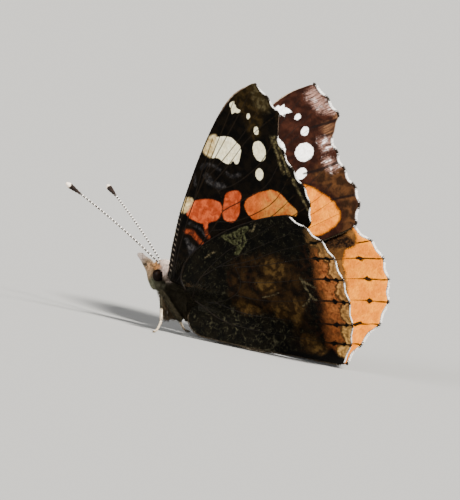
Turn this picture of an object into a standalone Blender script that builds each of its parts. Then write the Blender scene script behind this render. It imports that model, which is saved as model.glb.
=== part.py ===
"""A red admiral butterfly at rest with its wings half open, at its size in life.

It faces -X and stands on the floor, Z = 0, on its four walking feet. Sizes are in
millimetres here and become metres when a mesh is made. Places along the body are
measured from the forewing's hinge, which is HINGE_X ahead of the frame's origin and
HINGE_Z above the floor. Each pair is made by one function that is called for the
right side (side = 1, at +Y) and for the left side (side = -1).
"""

import math

import bmesh
import bpy
import numpy as np

MM = 0.001
HINGE_X = 5.105
HINGE_Z = 5.8

# The wings. Height here is counted from the hinge, as it is along the body.
WING_THICKNESS = 0.5
WING_ROWS = 6
HINGE_SIDE = 2.35
SPREAD_BACK = 0.248
SPREAD_UP = 0.315
SPREAD_SOFTNESS = 1.0
FOREWING_ROOT = ((-1.35, 0.95), (0.9, 0.45))
FOREWING_COSTA = ((-1.75, 1.5), (-1.72, 6.3), (-0.95, 12.0), (1.6, 20.2), (4.6, 26.2), (8.4, 29.3))
FOREWING_OUTER = (
    (8.4, 29.3), (10.6, 27.6), (12.7, 25.4), (12.75, 22.6),
    (15.2, 19.1), (17.9, 16.1), (18.7, 12.4),
)
FOREWING_INNER = ((18.7, 12.4), (16.4, 10.6), (9.0, 5.6), (3.6, 1.95), (1.7, 0.7))
HINDWING_ROOT = ((2.0, -0.35), (3.2, -1.25))
HINDWING_COSTA = ((1.35, 0.1), (0.35, 1.8), (1.1, 4.7), (4.9, 8.3), (10.0, 11.15), (15.3, 13.1))
HINDWING_OUTER = (
    (15.3, 13.1), (18.9, 11.7), (22.4, 9.4), (24.95, 5.0),
    (25.6, 0.9), (24.75, -2.4), (23.8, -5.25),
)
HINDWING_INNER = ((23.8, -5.25), (17.0, -5.3), (7.0, -5.3), (3.5, -5.0), (2.1, -3.5), (2.3, -1.9))
SCALLOPS = 8
SCALLOP_DEPTH = 0.28
POINTS_PER_SCALLOP = 4
POINTS_PER_EDGE = 9
ROW_SPACING = 0.9

# The hindwing's shape: it passes outside the forewing above START_HEIGHT, and below the
# fold line, which climbs towards the back, it turns in to a trough for the abdomen.
WING_TO_WING = 0.85
START_HEIGHT = -0.8
START_RUN = 1.6
FOLD_START = 3.0
FOLD_LENGTH = 21.0
FOLD_HEIGHT = -1.6
FOLD_CLIMB = 5.1
FOLD_WIDTH = 0.6
FOLD_WIDENING = 1.4
FOLD_TURN = 0.62
TROUGH_SIDE = 2.35
TROUGH_CLOSED = 0.45
CLOSING_START = 11.0
CLOSING_RUN = 9.0
TROUGH_SOFTNESS = 0.3

# The body's stations: along, height above the floor, half width, half height.
THORAX = (
    (-2.6, 6.35, 0.35, 0.4),
    (-2.45, 6.3, 0.8, 0.95),
    (-1.9, 6.05, 1.3, 1.5),
    (-1.0, 5.65, 1.8, 2.1),
    (0.1, 5.2, 2.1, 2.5),
    (1.3, 4.85, 2.1, 2.5),
    (2.5, 4.55, 1.8, 2.15),
    (3.4, 4.4, 1.35, 1.6),
    (3.9, 4.35, 0.7, 0.9),
)
ABDOMEN = (
    (4.15, 4.3, 0.6, 0.65),
    (4.5, 4.25, 1.15, 1.2),
    (5.6, 4.05, 1.55, 1.6),
    (7.6, 3.75, 1.75, 1.75),
    (9.8, 3.4, 1.7, 1.65),
    (12.0, 3.1, 1.45, 1.4),
    (13.9, 2.85, 1.1, 1.1),
    (15.3, 2.7, 0.65, 0.7),
    (15.9, 2.65, 0.25, 0.3),
)
ABDOMEN_RINGS = 8
RING_GROOVE = 0.05
HEAD = (
    (-4.3, 7.0, 0.3, 0.4),
    (-4.2, 7.0, 0.75, 0.95),
    (-3.95, 7.0, 1.05, 1.3),
    (-3.5, 7.0, 1.2, 1.5),
    (-3.05, 6.95, 1.0, 1.3),
    (-2.75, 6.85, 0.5, 0.75),
)
EYE_CENTRE = (-3.65, 1.05, 7.05)
EYE_RADII = (0.78, 0.62, 0.84)
HEAD_GAP = 0.1
SIDES = 18
SHARP_EDGE = math.radians(50)

# Paths of the small parts: along, out to the side, height above the floor, radius.
PALP = (
    (-3.75, 0.5, 5.2, 0.22),
    (-4.15, 0.52, 5.35, 0.36),
    (-4.72, 0.52, 6.2, 0.41),
    (-5.2, 0.51, 7.35, 0.45),
    (-6.15, 0.48, 8.4, 0.41),
    (-7.1, 0.46, 9.15, 0.33),
)
ANTENNA_BASE = (-3.95, 0.5, 8.72)
ANTENNA_TIPS = {1: (-15.25, 6.6, 16.5), -1: (-15.25, 8.6, 16.5)}
ANTENNA_SAG = 0.35
ANTENNA_RADIUS = 0.25
ANTENNA_STATIONS = (0, 0.1, 0.22, 0.36, 0.5, 0.64, 0.76, 0.84, 0.9, 0.95, 0.985, 1.0)
CLUB_RADIUS = 0.4
CLUB_START = 0.805
CLUB_RUN = 0.117
CLUB_ROUNDING = {0.985: 0.8, 1.0: 0.45}
FORELEG = (
    (-1.45, 0.85, 3.8, 0.3),
    (-1.0, 1.25, 3.05, 0.34),
    (-0.85, 1.4, 2.4, 0.3),
    (-1.2, 1.42, 1.95, 0.27),
    (-1.75, 1.35, 2.2, 0.27),
    (-2.2, 1.2, 3.1, 0.28),
    (-2.75, 1.0, 4.3, 0.25),
)
MIDLEG = (
    (0.75, 1.1, 2.05, 0.3),
    (0.45, 1.5, 2.15, 0.42),
    (-0.7, 2.35, 3.55, 0.42),
    (-1.75, 3.0, 4.85, 0.32),
    (-1.95, 3.2, 4.85, 0.28),
    (-1.6, 3.4, 3.4, 0.28),
    (-1.2, 3.6, 1.55, 0.26),
    (-1.05, 4.3, 0.95, 0.25),
    (-0.95, 5.2, 0.42, 0.25),
    (-0.85, 6.3, 0.22, 0.25),
    (-0.8, 6.7, 0.22, 0.22),
)
HINDLEG = (
    (2.2, 0.9, 1.9, 0.3),
    (2.7, 1.1, 1.75, 0.4),
    (4.6, 1.35, 1.55, 0.36),
    (6.3, 1.4, 1.3, 0.28),
    (7.8, 1.35, 0.75, 0.27),
    (9.3, 1.3, 0.36, 0.25),
    (10.6, 1.25, 0.22, 0.25),
    (12.4, 1.15, 0.22, 0.25),
    (12.8, 1.12, 0.22, 0.22),
)
LIMB_SIDES = 8
EYE_SEGMENTS = 16
EYE_RINGS = 10


def clear_scene():
    for thing in list(bpy.data.objects):
        bpy.data.objects.remove(thing, do_unlink=True)


def material(name, colour, roughness):
    found = bpy.data.materials.get(name)
    if found:
        return found
    made = bpy.data.materials.new(name)
    made.use_nodes = True
    shader = made.node_tree.nodes["Principled BSDF"]
    shader.inputs["Base Color"].default_value = (*colour, 1.0)
    shader.inputs["Roughness"].default_value = roughness
    shader.inputs["Metallic"].default_value = 0.0
    made.diffuse_color = (*colour, 1.0)
    return made


def placed(along, out, height):
    """A point of the body in metres in the frame, from its millimetres."""
    return ((along - HINGE_X) * MM, out * MM, height * MM)


def add_object(name, work, look):
    """The bmesh as a named object with outward faces."""
    bmesh.ops.recalc_face_normals(work, faces=work.faces)
    mesh = bpy.data.meshes.new(name)
    work.to_mesh(mesh)
    work.free()
    mesh.shade_smooth()
    mesh.set_sharp_from_angle(angle=SHARP_EDGE)
    made = bpy.data.objects.new(name, mesh)
    mesh.materials.append(look)
    bpy.context.scene.collection.objects.link(made)
    return made


def curve_through(points, steps):
    """Points of a smooth curve through the given ones, steps to each span."""
    points = np.array(points, float)
    first = 2 * points[0] - points[1]
    last = 2 * points[-1] - points[-2]
    padded = np.vstack([first, points, last])
    found = []
    for i in range(len(points) - 1):
        a, b, c, d = padded[i : i + 4]
        for t in np.arange(steps) / steps:
            found.append(
                0.5 * (2 * b + (c - a) * t + (2 * a - 5 * b + 4 * c - d) * t**2
                       + (3 * b - a - 3 * c + d) * t**3)
            )
    found.append(points[-1])
    return np.array(found)


def spaced(line, count):
    """The line again with count points at equal distances."""
    lengths = np.linalg.norm(np.diff(line, axis=0), axis=1)
    run = np.concatenate([[0], np.cumsum(lengths)])
    wanted = np.linspace(0, run[-1], count)
    return np.column_stack([np.interp(wanted, run, line[:, i]) for i in range(line.shape[1])])


def soft_max(a, b, softness):
    return b + softness * np.log1p(np.exp((a - b) / softness))


def eased(value):
    value = np.clip(value, 0, 1)
    return value * value * (3 - 2 * value)


def forewing_side(along, up):
    """How far out the forewing's middle lies: upright at the hinge, then leaning outward."""
    plane = SPREAD_BACK * along + SPREAD_UP * up
    return soft_max(plane, HINGE_SIDE, SPREAD_SOFTNESS)


def hindwing_side(along, up):
    """Outside the forewing above, and folded in below, where it forms the trough round the abdomen."""
    clear_of_forewing = WING_TO_WING * eased((up - START_HEIGHT) / START_RUN)
    back = (along - FOLD_START) / FOLD_LENGTH
    fold_height = FOLD_HEIGHT + FOLD_CLIMB * back
    fold_width = FOLD_WIDTH + FOLD_WIDENING * np.maximum(back, 0)
    fold = FOLD_TURN * fold_width * np.log1p(np.exp((fold_height - up) / fold_width))
    leaning = forewing_side(along, up) + clear_of_forewing - fold
    closing = eased((along - CLOSING_START) / CLOSING_RUN)
    trough = TROUGH_SIDE + (TROUGH_CLOSED - TROUGH_SIDE) * closing
    return soft_max(leaning, trough, TROUGH_SOFTNESS)


def scalloped(line):
    """The outer margin drawn in between the ends of the veins."""
    run = np.linspace(0, 1, len(line))
    edge = np.gradient(line, axis=0)
    inward = np.column_stack([edge[:, 1], -edge[:, 0]])
    inward /= np.linalg.norm(inward, axis=1)[:, None]
    drawn = SCALLOP_DEPTH * np.sin(math.pi * SCALLOPS * run) ** 2
    return line + inward * drawn[:, None]


def wing_outline(costa, outer, inner):
    front = spaced(curve_through(costa, 6), POINTS_PER_EDGE)
    margin = spaced(curve_through(outer, 12), POINTS_PER_SCALLOP * SCALLOPS + 1)
    back = spaced(curve_through(inner, 6), POINTS_PER_EDGE)
    return np.vstack([front, scalloped(margin)[1:-1], back])


def wing(name, side, root, outline, side_rule, look):
    """A grid from the root to the outline, given its thickness by Solidify."""
    count = len(outline)
    start = np.linspace(root[0], root[1], count)
    work = bmesh.new()
    rows = []
    for row in range(WING_ROWS + 1):
        share = (row / WING_ROWS) ** ROW_SPACING
        flat = start + (outline - start) * share
        out = side * side_rule(flat[:, 0], flat[:, 1])
        rows.append([work.verts.new(placed(x, y, z + HINGE_Z)) for (x, z), y in zip(flat, out)])
    for lower, upper in zip(rows, rows[1:]):
        for i in range(count - 1):
            work.faces.new((lower[i], lower[i + 1], upper[i + 1], upper[i]))
    made = add_object(name, work, look)
    wall = made.modifiers.new("thickness", "SOLIDIFY")
    wall.thickness = WING_THICKNESS * MM
    wall.offset = 0.0
    wall.use_even_offset = False
    return made


def ring_loft(work, rings):
    """Rings of equal count joined end to end, with a flat cap on each end."""
    loops = [[work.verts.new(point) for point in ring] for ring in rings]
    for one, two in zip(loops, loops[1:]):
        for i in range(len(one)):
            j = (i + 1) % len(one)
            work.faces.new((one[i], one[j], two[j], two[i]))
    work.faces.new(loops[0])
    work.faces.new(list(reversed(loops[-1])))


def body_piece(name, stations, steps, look, grooves=0, grow=0.0):
    """An upright oval carried along the body's stations."""
    stations = curve_through(stations, steps)
    turns = np.linspace(0, 2 * math.pi, SIDES, endpoint=False)
    run = np.linspace(0, 1, len(stations))
    rings = []
    for share, (along, height, wide, tall) in zip(run, stations):
        size = 1.0
        if grooves:
            size -= RING_GROOVE * (0.5 + 0.5 * math.cos(2 * math.pi * grooves * share)) ** 4
        rings.append([
            placed(
                along,
                (wide * size + grow) * math.cos(turn),
                height + (tall * size + grow) * math.sin(turn),
            )
            for turn in turns
        ])
    work = bmesh.new()
    ring_loft(work, rings)
    return add_object(name, work, look)


def limb(name, path, side, look, steps=1, sides=LIMB_SIDES):
    """A round limb along its path. What would reach below the floor is a flat sole."""
    line = curve_through(path, steps)
    points = line[:, :3] * np.array([1, side, 1])
    ahead = np.gradient(points, axis=0)
    ahead /= np.linalg.norm(ahead, axis=1)[:, None]
    across = np.cross(ahead[0], (0, 0, 1))
    rings = []
    for point, forward, radius in zip(points, ahead, line[:, 3]):
        across = across - forward * np.dot(across, forward)
        across /= np.linalg.norm(across)
        upward = np.cross(forward, across)
        ring = []
        for i in range(sides):
            turn = 2 * math.pi * (i + 0.5) / sides
            at = point + radius * (across * math.cos(turn) + upward * math.sin(turn))
            ring.append(placed(at[0], at[1], max(at[2], 0.0)))
        rings.append(ring)
    work = bmesh.new()
    ring_loft(work, rings)
    return add_object(name, work, look)


def antenna(name, side, look):
    """A thin shaft that sags a little and ends in a club."""
    base = np.array(ANTENNA_BASE)
    reach = np.array(ANTENNA_TIPS[side]) - base
    path = []
    for t in ANTENNA_STATIONS:
        point = base + reach * t
        point[2] += ANTENNA_SAG * 4 * t * (1 - t)
        club = eased((t - CLUB_START) / CLUB_RUN)
        radius = ANTENNA_RADIUS + (CLUB_RADIUS - ANTENNA_RADIUS) * club
        path.append((*point, radius * CLUB_ROUNDING.get(t, 1.0)))
    return limb(name, path, side, look)


def eye(name, side, cutter, look):
    """A ball whose inner side is cut to the head, with a thin gap."""
    work = bmesh.new()
    bmesh.ops.create_uvsphere(work, u_segments=EYE_SEGMENTS, v_segments=EYE_RINGS, radius=1.0)
    along, out, height = EYE_CENTRE
    for vert in work.verts:
        x, y, z = vert.co
        vert.co = placed(
            along + EYE_RADII[0] * x,
            side * (out + EYE_RADII[1] * z),
            height + EYE_RADII[2] * y,
        )
    made = add_object(name, work, look)
    cut = made.modifiers.new("seat", "BOOLEAN")
    cut.operation = "DIFFERENCE"
    cut.object = cutter
    return made


def build():
    clear_scene()
    cuticle = material("cuticle", (0.05, 0.04, 0.03), 0.6)
    hairy = material("hair", (0.16, 0.12, 0.07), 0.85)
    pale = material("palp_scales", (0.62, 0.5, 0.4), 0.8)
    glossy = material("eye", (0.09, 0.035, 0.02), 0.2)
    fore = material("forewing", (0.06, 0.035, 0.025), 0.7)
    hind = material("hindwing", (0.16, 0.08, 0.04), 0.7)
    leg = material("leg", (0.7, 0.62, 0.5), 0.6)

    body_piece("thorax", THORAX, 2, hairy)
    body_piece("abdomen", ABDOMEN, 3, hairy, ABDOMEN_RINGS)
    body_piece("head", HEAD, 2, hairy)
    cutter = body_piece("head_cutter", HEAD, 2, hairy, grow=HEAD_GAP)
    cutter.hide_render = True
    cutter.display_type = "WIRE"

    fore_outline = wing_outline(FOREWING_COSTA, FOREWING_OUTER, FOREWING_INNER)
    hind_outline = wing_outline(HINDWING_COSTA, HINDWING_OUTER, HINDWING_INNER)
    for side, word in ((1, "right"), (-1, "left")):
        wing("forewing_" + word, side, FOREWING_ROOT, fore_outline, forewing_side, fore)
        wing("hindwing_" + word, side, HINDWING_ROOT, hind_outline, hindwing_side, hind)
        eye("eye_" + word, side, cutter, glossy)
        limb("palp_" + word, PALP, side, pale, 2)
        antenna("antenna_" + word, side, cuticle)
        limb("foreleg_" + word, FORELEG, side, hairy, 2)
        limb("midleg_" + word, MIDLEG, side, leg)
        limb("hindleg_" + word, HINDLEG, side, leg)


build()
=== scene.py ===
"""The looks of a red admiral butterfly, standing with its wings half open.

Shapes are worked out in millimetres of the body: along towards the tail from the wing
hinge, out to the side, and height above the floor. On a wing, up is counted from the
hinge. settle() turns a finished piece into metres in the frame.
"""

import math

import bpy
import numpy as np
from mathutils import Matrix, Vector


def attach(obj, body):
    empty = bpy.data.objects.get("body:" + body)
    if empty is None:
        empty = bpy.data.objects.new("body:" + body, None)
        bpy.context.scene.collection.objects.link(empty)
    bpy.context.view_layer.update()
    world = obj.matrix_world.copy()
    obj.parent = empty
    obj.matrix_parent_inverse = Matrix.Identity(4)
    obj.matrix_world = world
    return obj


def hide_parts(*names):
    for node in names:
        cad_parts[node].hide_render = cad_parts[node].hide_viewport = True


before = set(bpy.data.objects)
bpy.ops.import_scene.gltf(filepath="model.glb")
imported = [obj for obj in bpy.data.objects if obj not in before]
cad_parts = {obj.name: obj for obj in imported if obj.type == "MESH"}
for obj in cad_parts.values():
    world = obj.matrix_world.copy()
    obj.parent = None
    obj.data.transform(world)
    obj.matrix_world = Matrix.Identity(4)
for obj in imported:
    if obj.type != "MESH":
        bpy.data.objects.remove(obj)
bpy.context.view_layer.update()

MM = 0.001
HINGE_X = 5.105
HINGE_Z = 5.8
SEED = 11
FEW = 1.0

# The wings' outlines, in millimetres along the body and up from the hinge.
HINGE_SIDE = 2.35
SPREAD_BACK = 0.248
SPREAD_UP = 0.315
WING_TO_WING = 0.85
START_HEIGHT = -0.8
START_RUN = 1.6
FOLD_START = 3.0
FOLD_LENGTH = 21.0
FOLD_HEIGHT = -1.6
FOLD_CLIMB = 5.1
FOLD_WIDTH = 0.6
FOLD_WIDENING = 1.4
FOLD_TURN = 0.62
TROUGH_SIDE = 2.35
TROUGH_CLOSED = 0.45
CLOSING_START = 11.0
CLOSING_RUN = 9.0
TROUGH_SOFTNESS = 0.3
SCALLOPS = 8
SCALLOP_DEPTH = 0.28
FRINGE_LENGTH = 0.2
FRINGE_DARK = {"fore": 0.19, "hind": 0.11}
# Fringe cells behind the forewing's corner, where the fringe is short and its white is painted brown as painted shade.
FRINGE_GAP = {"fore": (2.15, 3.15), "hind": (0.0, 0.0)}
FRINGE_GROWTH = {1: 1.8, -1: 0.65}
GAP_GROWTH = 0.45
STROKE_TURN = math.radians(38.0)
STROKE_SIZE = (1.3, 0.15, 1.0)
CORNER_ROUNDING = 0.55
CORNER_REACH = 2.2
RIM_STEPS = 1600
ROUNDING_STEPS = 60
EDGE_STEPS = 240
WALL = 0.13
PLEAT = 0.055
WING_COLUMNS = 300
WING_ROWS = 110

FORE_PLAN = {
    "root": ((-1.35, 0.95), (0.9, 0.45)),
    "costa": ((-1.75, 1.5), (-1.72, 6.3), (-0.95, 12.0), (1.6, 20.2), (4.6, 26.2), (8.4, 29.3)),
    "outer": (
        (8.4, 29.3), (10.6, 27.6), (12.7, 25.4), (12.75, 22.6),
        (15.2, 19.1), (17.9, 16.1), (18.7, 12.4),
    ),
    "inner": ((18.7, 12.4), (16.4, 10.6), (9.0, 5.6), (3.6, 1.95), (1.7, 0.7)),
}
HIND_PLAN = {
    "root": ((2.0, -0.35), (3.2, -1.25)),
    "costa": ((1.35, 0.1), (0.35, 1.8), (1.1, 4.7), (4.9, 8.3), (10.0, 11.15), (15.3, 13.1)),
    "outer": (
        (15.3, 13.1), (18.9, 11.7), (22.4, 9.4), (24.95, 5.0),
        (25.6, 0.9), (24.75, -2.4), (23.8, -5.25),
    ),
    "inner": ((23.8, -5.25), (17.0, -5.3), (7.0, -5.3), (3.5, -5.0), (2.1, -3.5), (2.3, -1.9)),
}

# The veins: inner points, then the scallop tip that each one runs to, or None.
FORE_VEINS = (
    (((-1.0, 1.2), (-0.75, 6.0), (0.2, 11.0), (1.7, 15.2)), None),
    (((-0.4, 1.0), (1.2, 5.0), (3.5, 8.6), (4.9, 11.4)), None),
    (((1.7, 15.2), (3.0, 14.7), (4.5, 13.2), (4.9, 11.4)), None),
    (((-1.2, 2.0), (-1.3, 7.0), (-0.9, 11.0), (0.2, 15.4)), None),
    (((0.45, 12.0), (1.1, 15.4), (2.5, 20.6)), None),
    (((1.0, 13.4), (2.2, 17.2), (4.3, 23.2), (5.4, 26.6)), None),
    (((1.7, 15.2), (3.2, 18.4), (5.7, 23.5), (8.2, 28.9)), None),
    (((1.9, 15.1), (4.0, 17.7), (7.3, 22.4)), 1),
    (((3.0, 14.7), (5.2, 17.6), (7.6, 21.2), (9.9, 23.7)), 2),
    (((3.9, 13.9), (6.9, 15.7), (10.0, 18.8)), 3),
    (((4.9, 11.4), (5.9, 12.2), (7.4, 13.2), (11.3, 16.2)), 4),
    (((4.2, 9.9), (7.6, 10.8), (12.5, 14.2)), 5),
    (((3.5, 8.6), (7.4, 9.7), (12.2, 12.1)), 6),
    (((0.2, 0.9), (4.4, 4.4), (9.5, 8.1)), 7),
)
HIND_VEINS = (
    (((2.2, -0.5), (3.2, 2.4), (6.4, 6.4), (10.4, 9.2)), 0),
    (((3.2, 2.4), (6.5, 5.0), (10.5, 7.6)), 1),
    (((5.2, 4.1), (9.6, 5.7), (14.5, 8.2)), 2),
    (((7.9, 4.6), (12.0, 5.7), (18.3, 7.8)), 3),
    (((8.9, 2.9), (13.0, 3.6), (19.6, 5.4)), 4),
    (((8.3, 1.0), (13.0, 1.2), (20.8, 2.8)), 5),
    (((5.3, -0.6), (11.0, -1.2), (21.0, -0.2)), 6),
    (((2.6, -0.9), (8.0, -2.9), (19.0, -2.8)), 7),
    (((7.9, 4.6), (8.9, 2.9), (8.3, 1.0), (5.3, -0.6), (2.6, -0.9)), None),
)

# Patches of the wing patterns as smooth outlines, strokes (line, half width) and dots
# (centre, half length, half width, turn in degrees).
FORE_MARKS = {
    "white_under": {
        "patches": (
            ((2.3, 20.9), (3.0, 20.85), (4.0, 21.15), (5.1, 21.25), (6.1, 20.8), (6.85, 20.2), (6.85, 19.1),
             (6.65, 18.15), (6.25, 17.95), (5.85, 18.3), (5.4, 17.8), (4.6, 17.75), (3.5, 18.2), (2.4, 18.2)),
            ((4.65, 25.6), (5.3, 26.1), (5.25, 25.7), (5.5, 25.6), (5.75, 25.2), (6.5, 25.0), (6.05, 24.6),
             (5.5, 24.6), (5.1, 24.3), (4.95, 24.9), (4.65, 25.3)),
        ),
        "dots": (
            ((7.6, 24.5), 0.39, 0.28, 80),
            ((9.0, 22.9), 0.54, 0.38, 100),
            ((9.7, 20.3), 1.32, 0.98, 115),
            ((10.0, 17.3), 0.78, 0.6, 95),
        ),
    },
    "cream_under": {
        "patches": (
            ((1.15, 18.7), (1.6, 20.0), (2.2, 20.9), (3.0, 21.0), (3.0, 19.6), (2.6, 18.2), (1.8, 18.2)),
            ((-1.5, 10.2), (-1.25, 11.5), (-0.9, 12.1), (0.3, 12.0), (-0.1, 10.9), (-0.6, 10.2)),
        ),
    },
    "red_under": {
        "patches": (
            ((-0.3, 11.5), (0.4, 11.9), (2.0, 12.45), (3.8, 12.6), (4.6, 12.3), (4.75, 11.4), (4.6, 10.65),
             (4.1, 10.1), (3.1, 9.6), (2.1, 9.2), (0.85, 9.35), (-0.2, 9.7), (-0.5, 10.3)),
            ((5.1, 13.7), (6.0, 14.3), (7.0, 14.5), (7.5, 14.0), (7.4, 13.0), (7.4, 11.65), (6.85, 10.55),
             (6.1, 10.2), (5.15, 10.5), (4.9, 11.35), (4.95, 12.5)),
        ),
        "strokes": (
            (((2.5, 9.4), (2.55, 8.9)), 0.3),
        ),
    },
    "dim_red_under": {
        "strokes": (
            (((2.55, 9.0), (2.7, 8.4), (3.1, 7.7)), 0.26),
            (((-0.2, 7.75), (0.7, 7.75), (1.5, 7.1), (2.2, 6.7)), 0.3),
        ),
    },
    "orange_under": {
        "patches": (
            ((8.2, 13.3), (9.3, 14.5), (11.9, 15.6), (13.4, 15.4), (14.8, 14.5), (16.1, 13.7),
             (16.0, 13.0), (14.6, 12.9), (12.2, 12.0), (10.4, 11.3), (9.2, 11.5), (8.2, 12.5)),
        ),
    },
    "grey_under": {
        "patches": (
            ((-0.2, 6.9), (0.6, 6.4), (1.8, 5.6), (1.9, 4.9), (1.1, 4.3), (0.5, 5.3)),
            ((1.5, 15.4), (1.9, 15.9), (2.6, 15.6), (3.2, 15.1), (4.4, 15.0), (5.1, 14.7), (4.2, 14.2),
             (3.1, 14.4), (2.2, 14.7)),
        ),
        "strokes": (
            (((1.1, 16.4), (1.7, 16.9), (2.9, 17.1), (3.9, 16.7)), 0.19),
            (((4.9, 16.5), (5.8, 16.2), (7.0, 16.7)), 0.15),
            (((0.2, 15.2), (0.4, 14.0)), 0.13),
            (((0.1, 8.9), (1.6, 8.5), (2.7, 7.8)), 0.1),
        ),
    },
    "apex_under": {
        "patches": (
            ((5.0, 26.2), (8.4, 29.6), (11.2, 27.2), (13.2, 25.3), (12.3, 24.6), (11.2, 26.3),
             (9.7, 25.9), (9.8, 23.2), (8.9, 21.6), (7.6, 22.7), (6.7, 24.6), (5.4, 24.9)),
        ),
    },
    "grey_apex_under": {
        "patches": (
            ((7.6, 28.4), (8.5, 29.0), (9.4, 27.9), (10.7, 26.6), (10.6, 25.7), (9.4, 25.6), (8.4, 26.6)),
        ),
    },
    "pale_olive_under": {
        "strokes": (
            (((11.3, 22.5), (11.6, 21.9), (12.2, 21.0), (12.8, 19.7), (13.6, 18.2)), 0.17),
            (((11.9, 22.6), (12.4, 21.8), (13.1, 20.5), (13.9, 19.2), (14.5, 18.1)), 0.17),
            (((15.1, 17.6), (16.0, 16.5), (16.9, 15.3), (17.8, 14.2)), 0.15),
        ),
    },
    "white_upper": {
        "patches": (
            ((0.9, 18.5), (1.4, 20.0), (2.1, 21.3), (3.4, 21.4), (5.0, 21.5), (6.2, 21.2), (7.1, 20.3),
             (7.2, 19.2), (6.4, 17.9), (5.2, 17.6), (3.8, 17.8), (2.3, 18.1)),
            ((4.4, 25.0), (4.7, 25.5), (5.0, 25.35), (5.4, 25.8), (5.5, 25.4), (6.0, 25.3), (6.7, 25.0),
             (6.3, 24.8), (5.7, 24.5), (5.9, 24.1), (5.3, 24.4), (4.9, 24.4)),
        ),
        "dots": (
            ((7.5, 24.5), 0.42, 0.36, 60),
            ((8.9, 22.9), 0.6, 0.48, 90),
            ((9.6, 20.2), 1.2, 1.14, 100),
            ((10.0, 17.4), 0.8, 0.66, 70),
        ),
    },
    "orange_upper": {
        "patches": (
            ((-1.2, 11.6), (-0.2, 12.4), (2.0, 12.9), (5.0, 13.6), (8.0, 14.7), (10.2, 15.9), (12.0, 15.9),
             (13.1, 15.4), (14.4, 15.0), (15.6, 14.0), (16.3, 13.0), (16.0, 11.8), (15.0, 10.6),
             (13.6, 9.9), (12.6, 10.4), (11.4, 11.2), (9.0, 10.9), (6.0, 9.7), (3.0, 9.1), (0.0, 9.2),
             (-1.1, 10.2)),
        ),
    },
    # Painted sheen: pinkish-white light on the dark scales near the outer margin.
    "sheen_upper": {
        "patches": (
            ((7.6, 27.7), (8.2, 28.5), (9.4, 27.9), (10.4, 27.3), (11.4, 26.6), (12.2, 26.2), (11.6, 25.7),
             (10.6, 25.6), (9.7, 25.6), (8.9, 26.4), (8.0, 27.0)),
            ((10.8, 22.1), (11.3, 22.6), (12.4, 22.7), (13.1, 22.2), (12.9, 21.4), (12.3, 20.8), (11.4, 21.2)),
            ((12.0, 19.6), (12.6, 20.1), (13.6, 19.9), (14.3, 19.1), (13.6, 18.4), (12.7, 18.7)),
        ),
    },
    "tan_upper": {
        "patches": (
            ((10.8, 24.1), (11.1, 24.5), (12.1, 24.5), (12.3, 23.7), (12.3, 22.9), (11.2, 23.2)),
            ((12.4, 26.2), (12.9, 25.6), (12.7, 24.7), (11.9, 25.4)),
        ),
    },
    "streak_upper": {
        "strokes": (
            (((12.9, 25.4), (11.2, 24.35), (9.7, 23.6)), 0.17),
            (((14.7, 20.2), (12.1, 18.4), (10.3, 17.5)), 0.16),
            (((17.6, 16.2), (14.6, 14.9)), 0.15),
            (((10.7, 27.4), (9.9, 26.5), (9.2, 25.6)), 0.09),
            (((9.3, 28.2), (8.2, 26.8)), 0.08),
            (((13.1, 22.0), (11.3, 21.5)), 0.09),
            (((12.9, 23.7), (11.3, 22.7)), 0.08),
        ),
    },
    "brown_upper": {
        "patches": (
            ((13.6, 20.0), (15.4, 18.8), (17.8, 15.8), (19.0, 12.4), (17.4, 10.6), (16.6, 13.0),
             (15.4, 15.2), (13.4, 16.4), (11.4, 17.4), (12.0, 19.0)),
        ),
    },
    "maroon_upper": {
        "patches": (
            ((-1.6, 1.2), (-1.6, 9.4), (3.0, 8.7), (6.0, 9.2), (10.0, 9.9), (13.0, 9.0), (9.0, 5.2), (2.0, 0.6)),
        ),
    },
}
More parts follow.
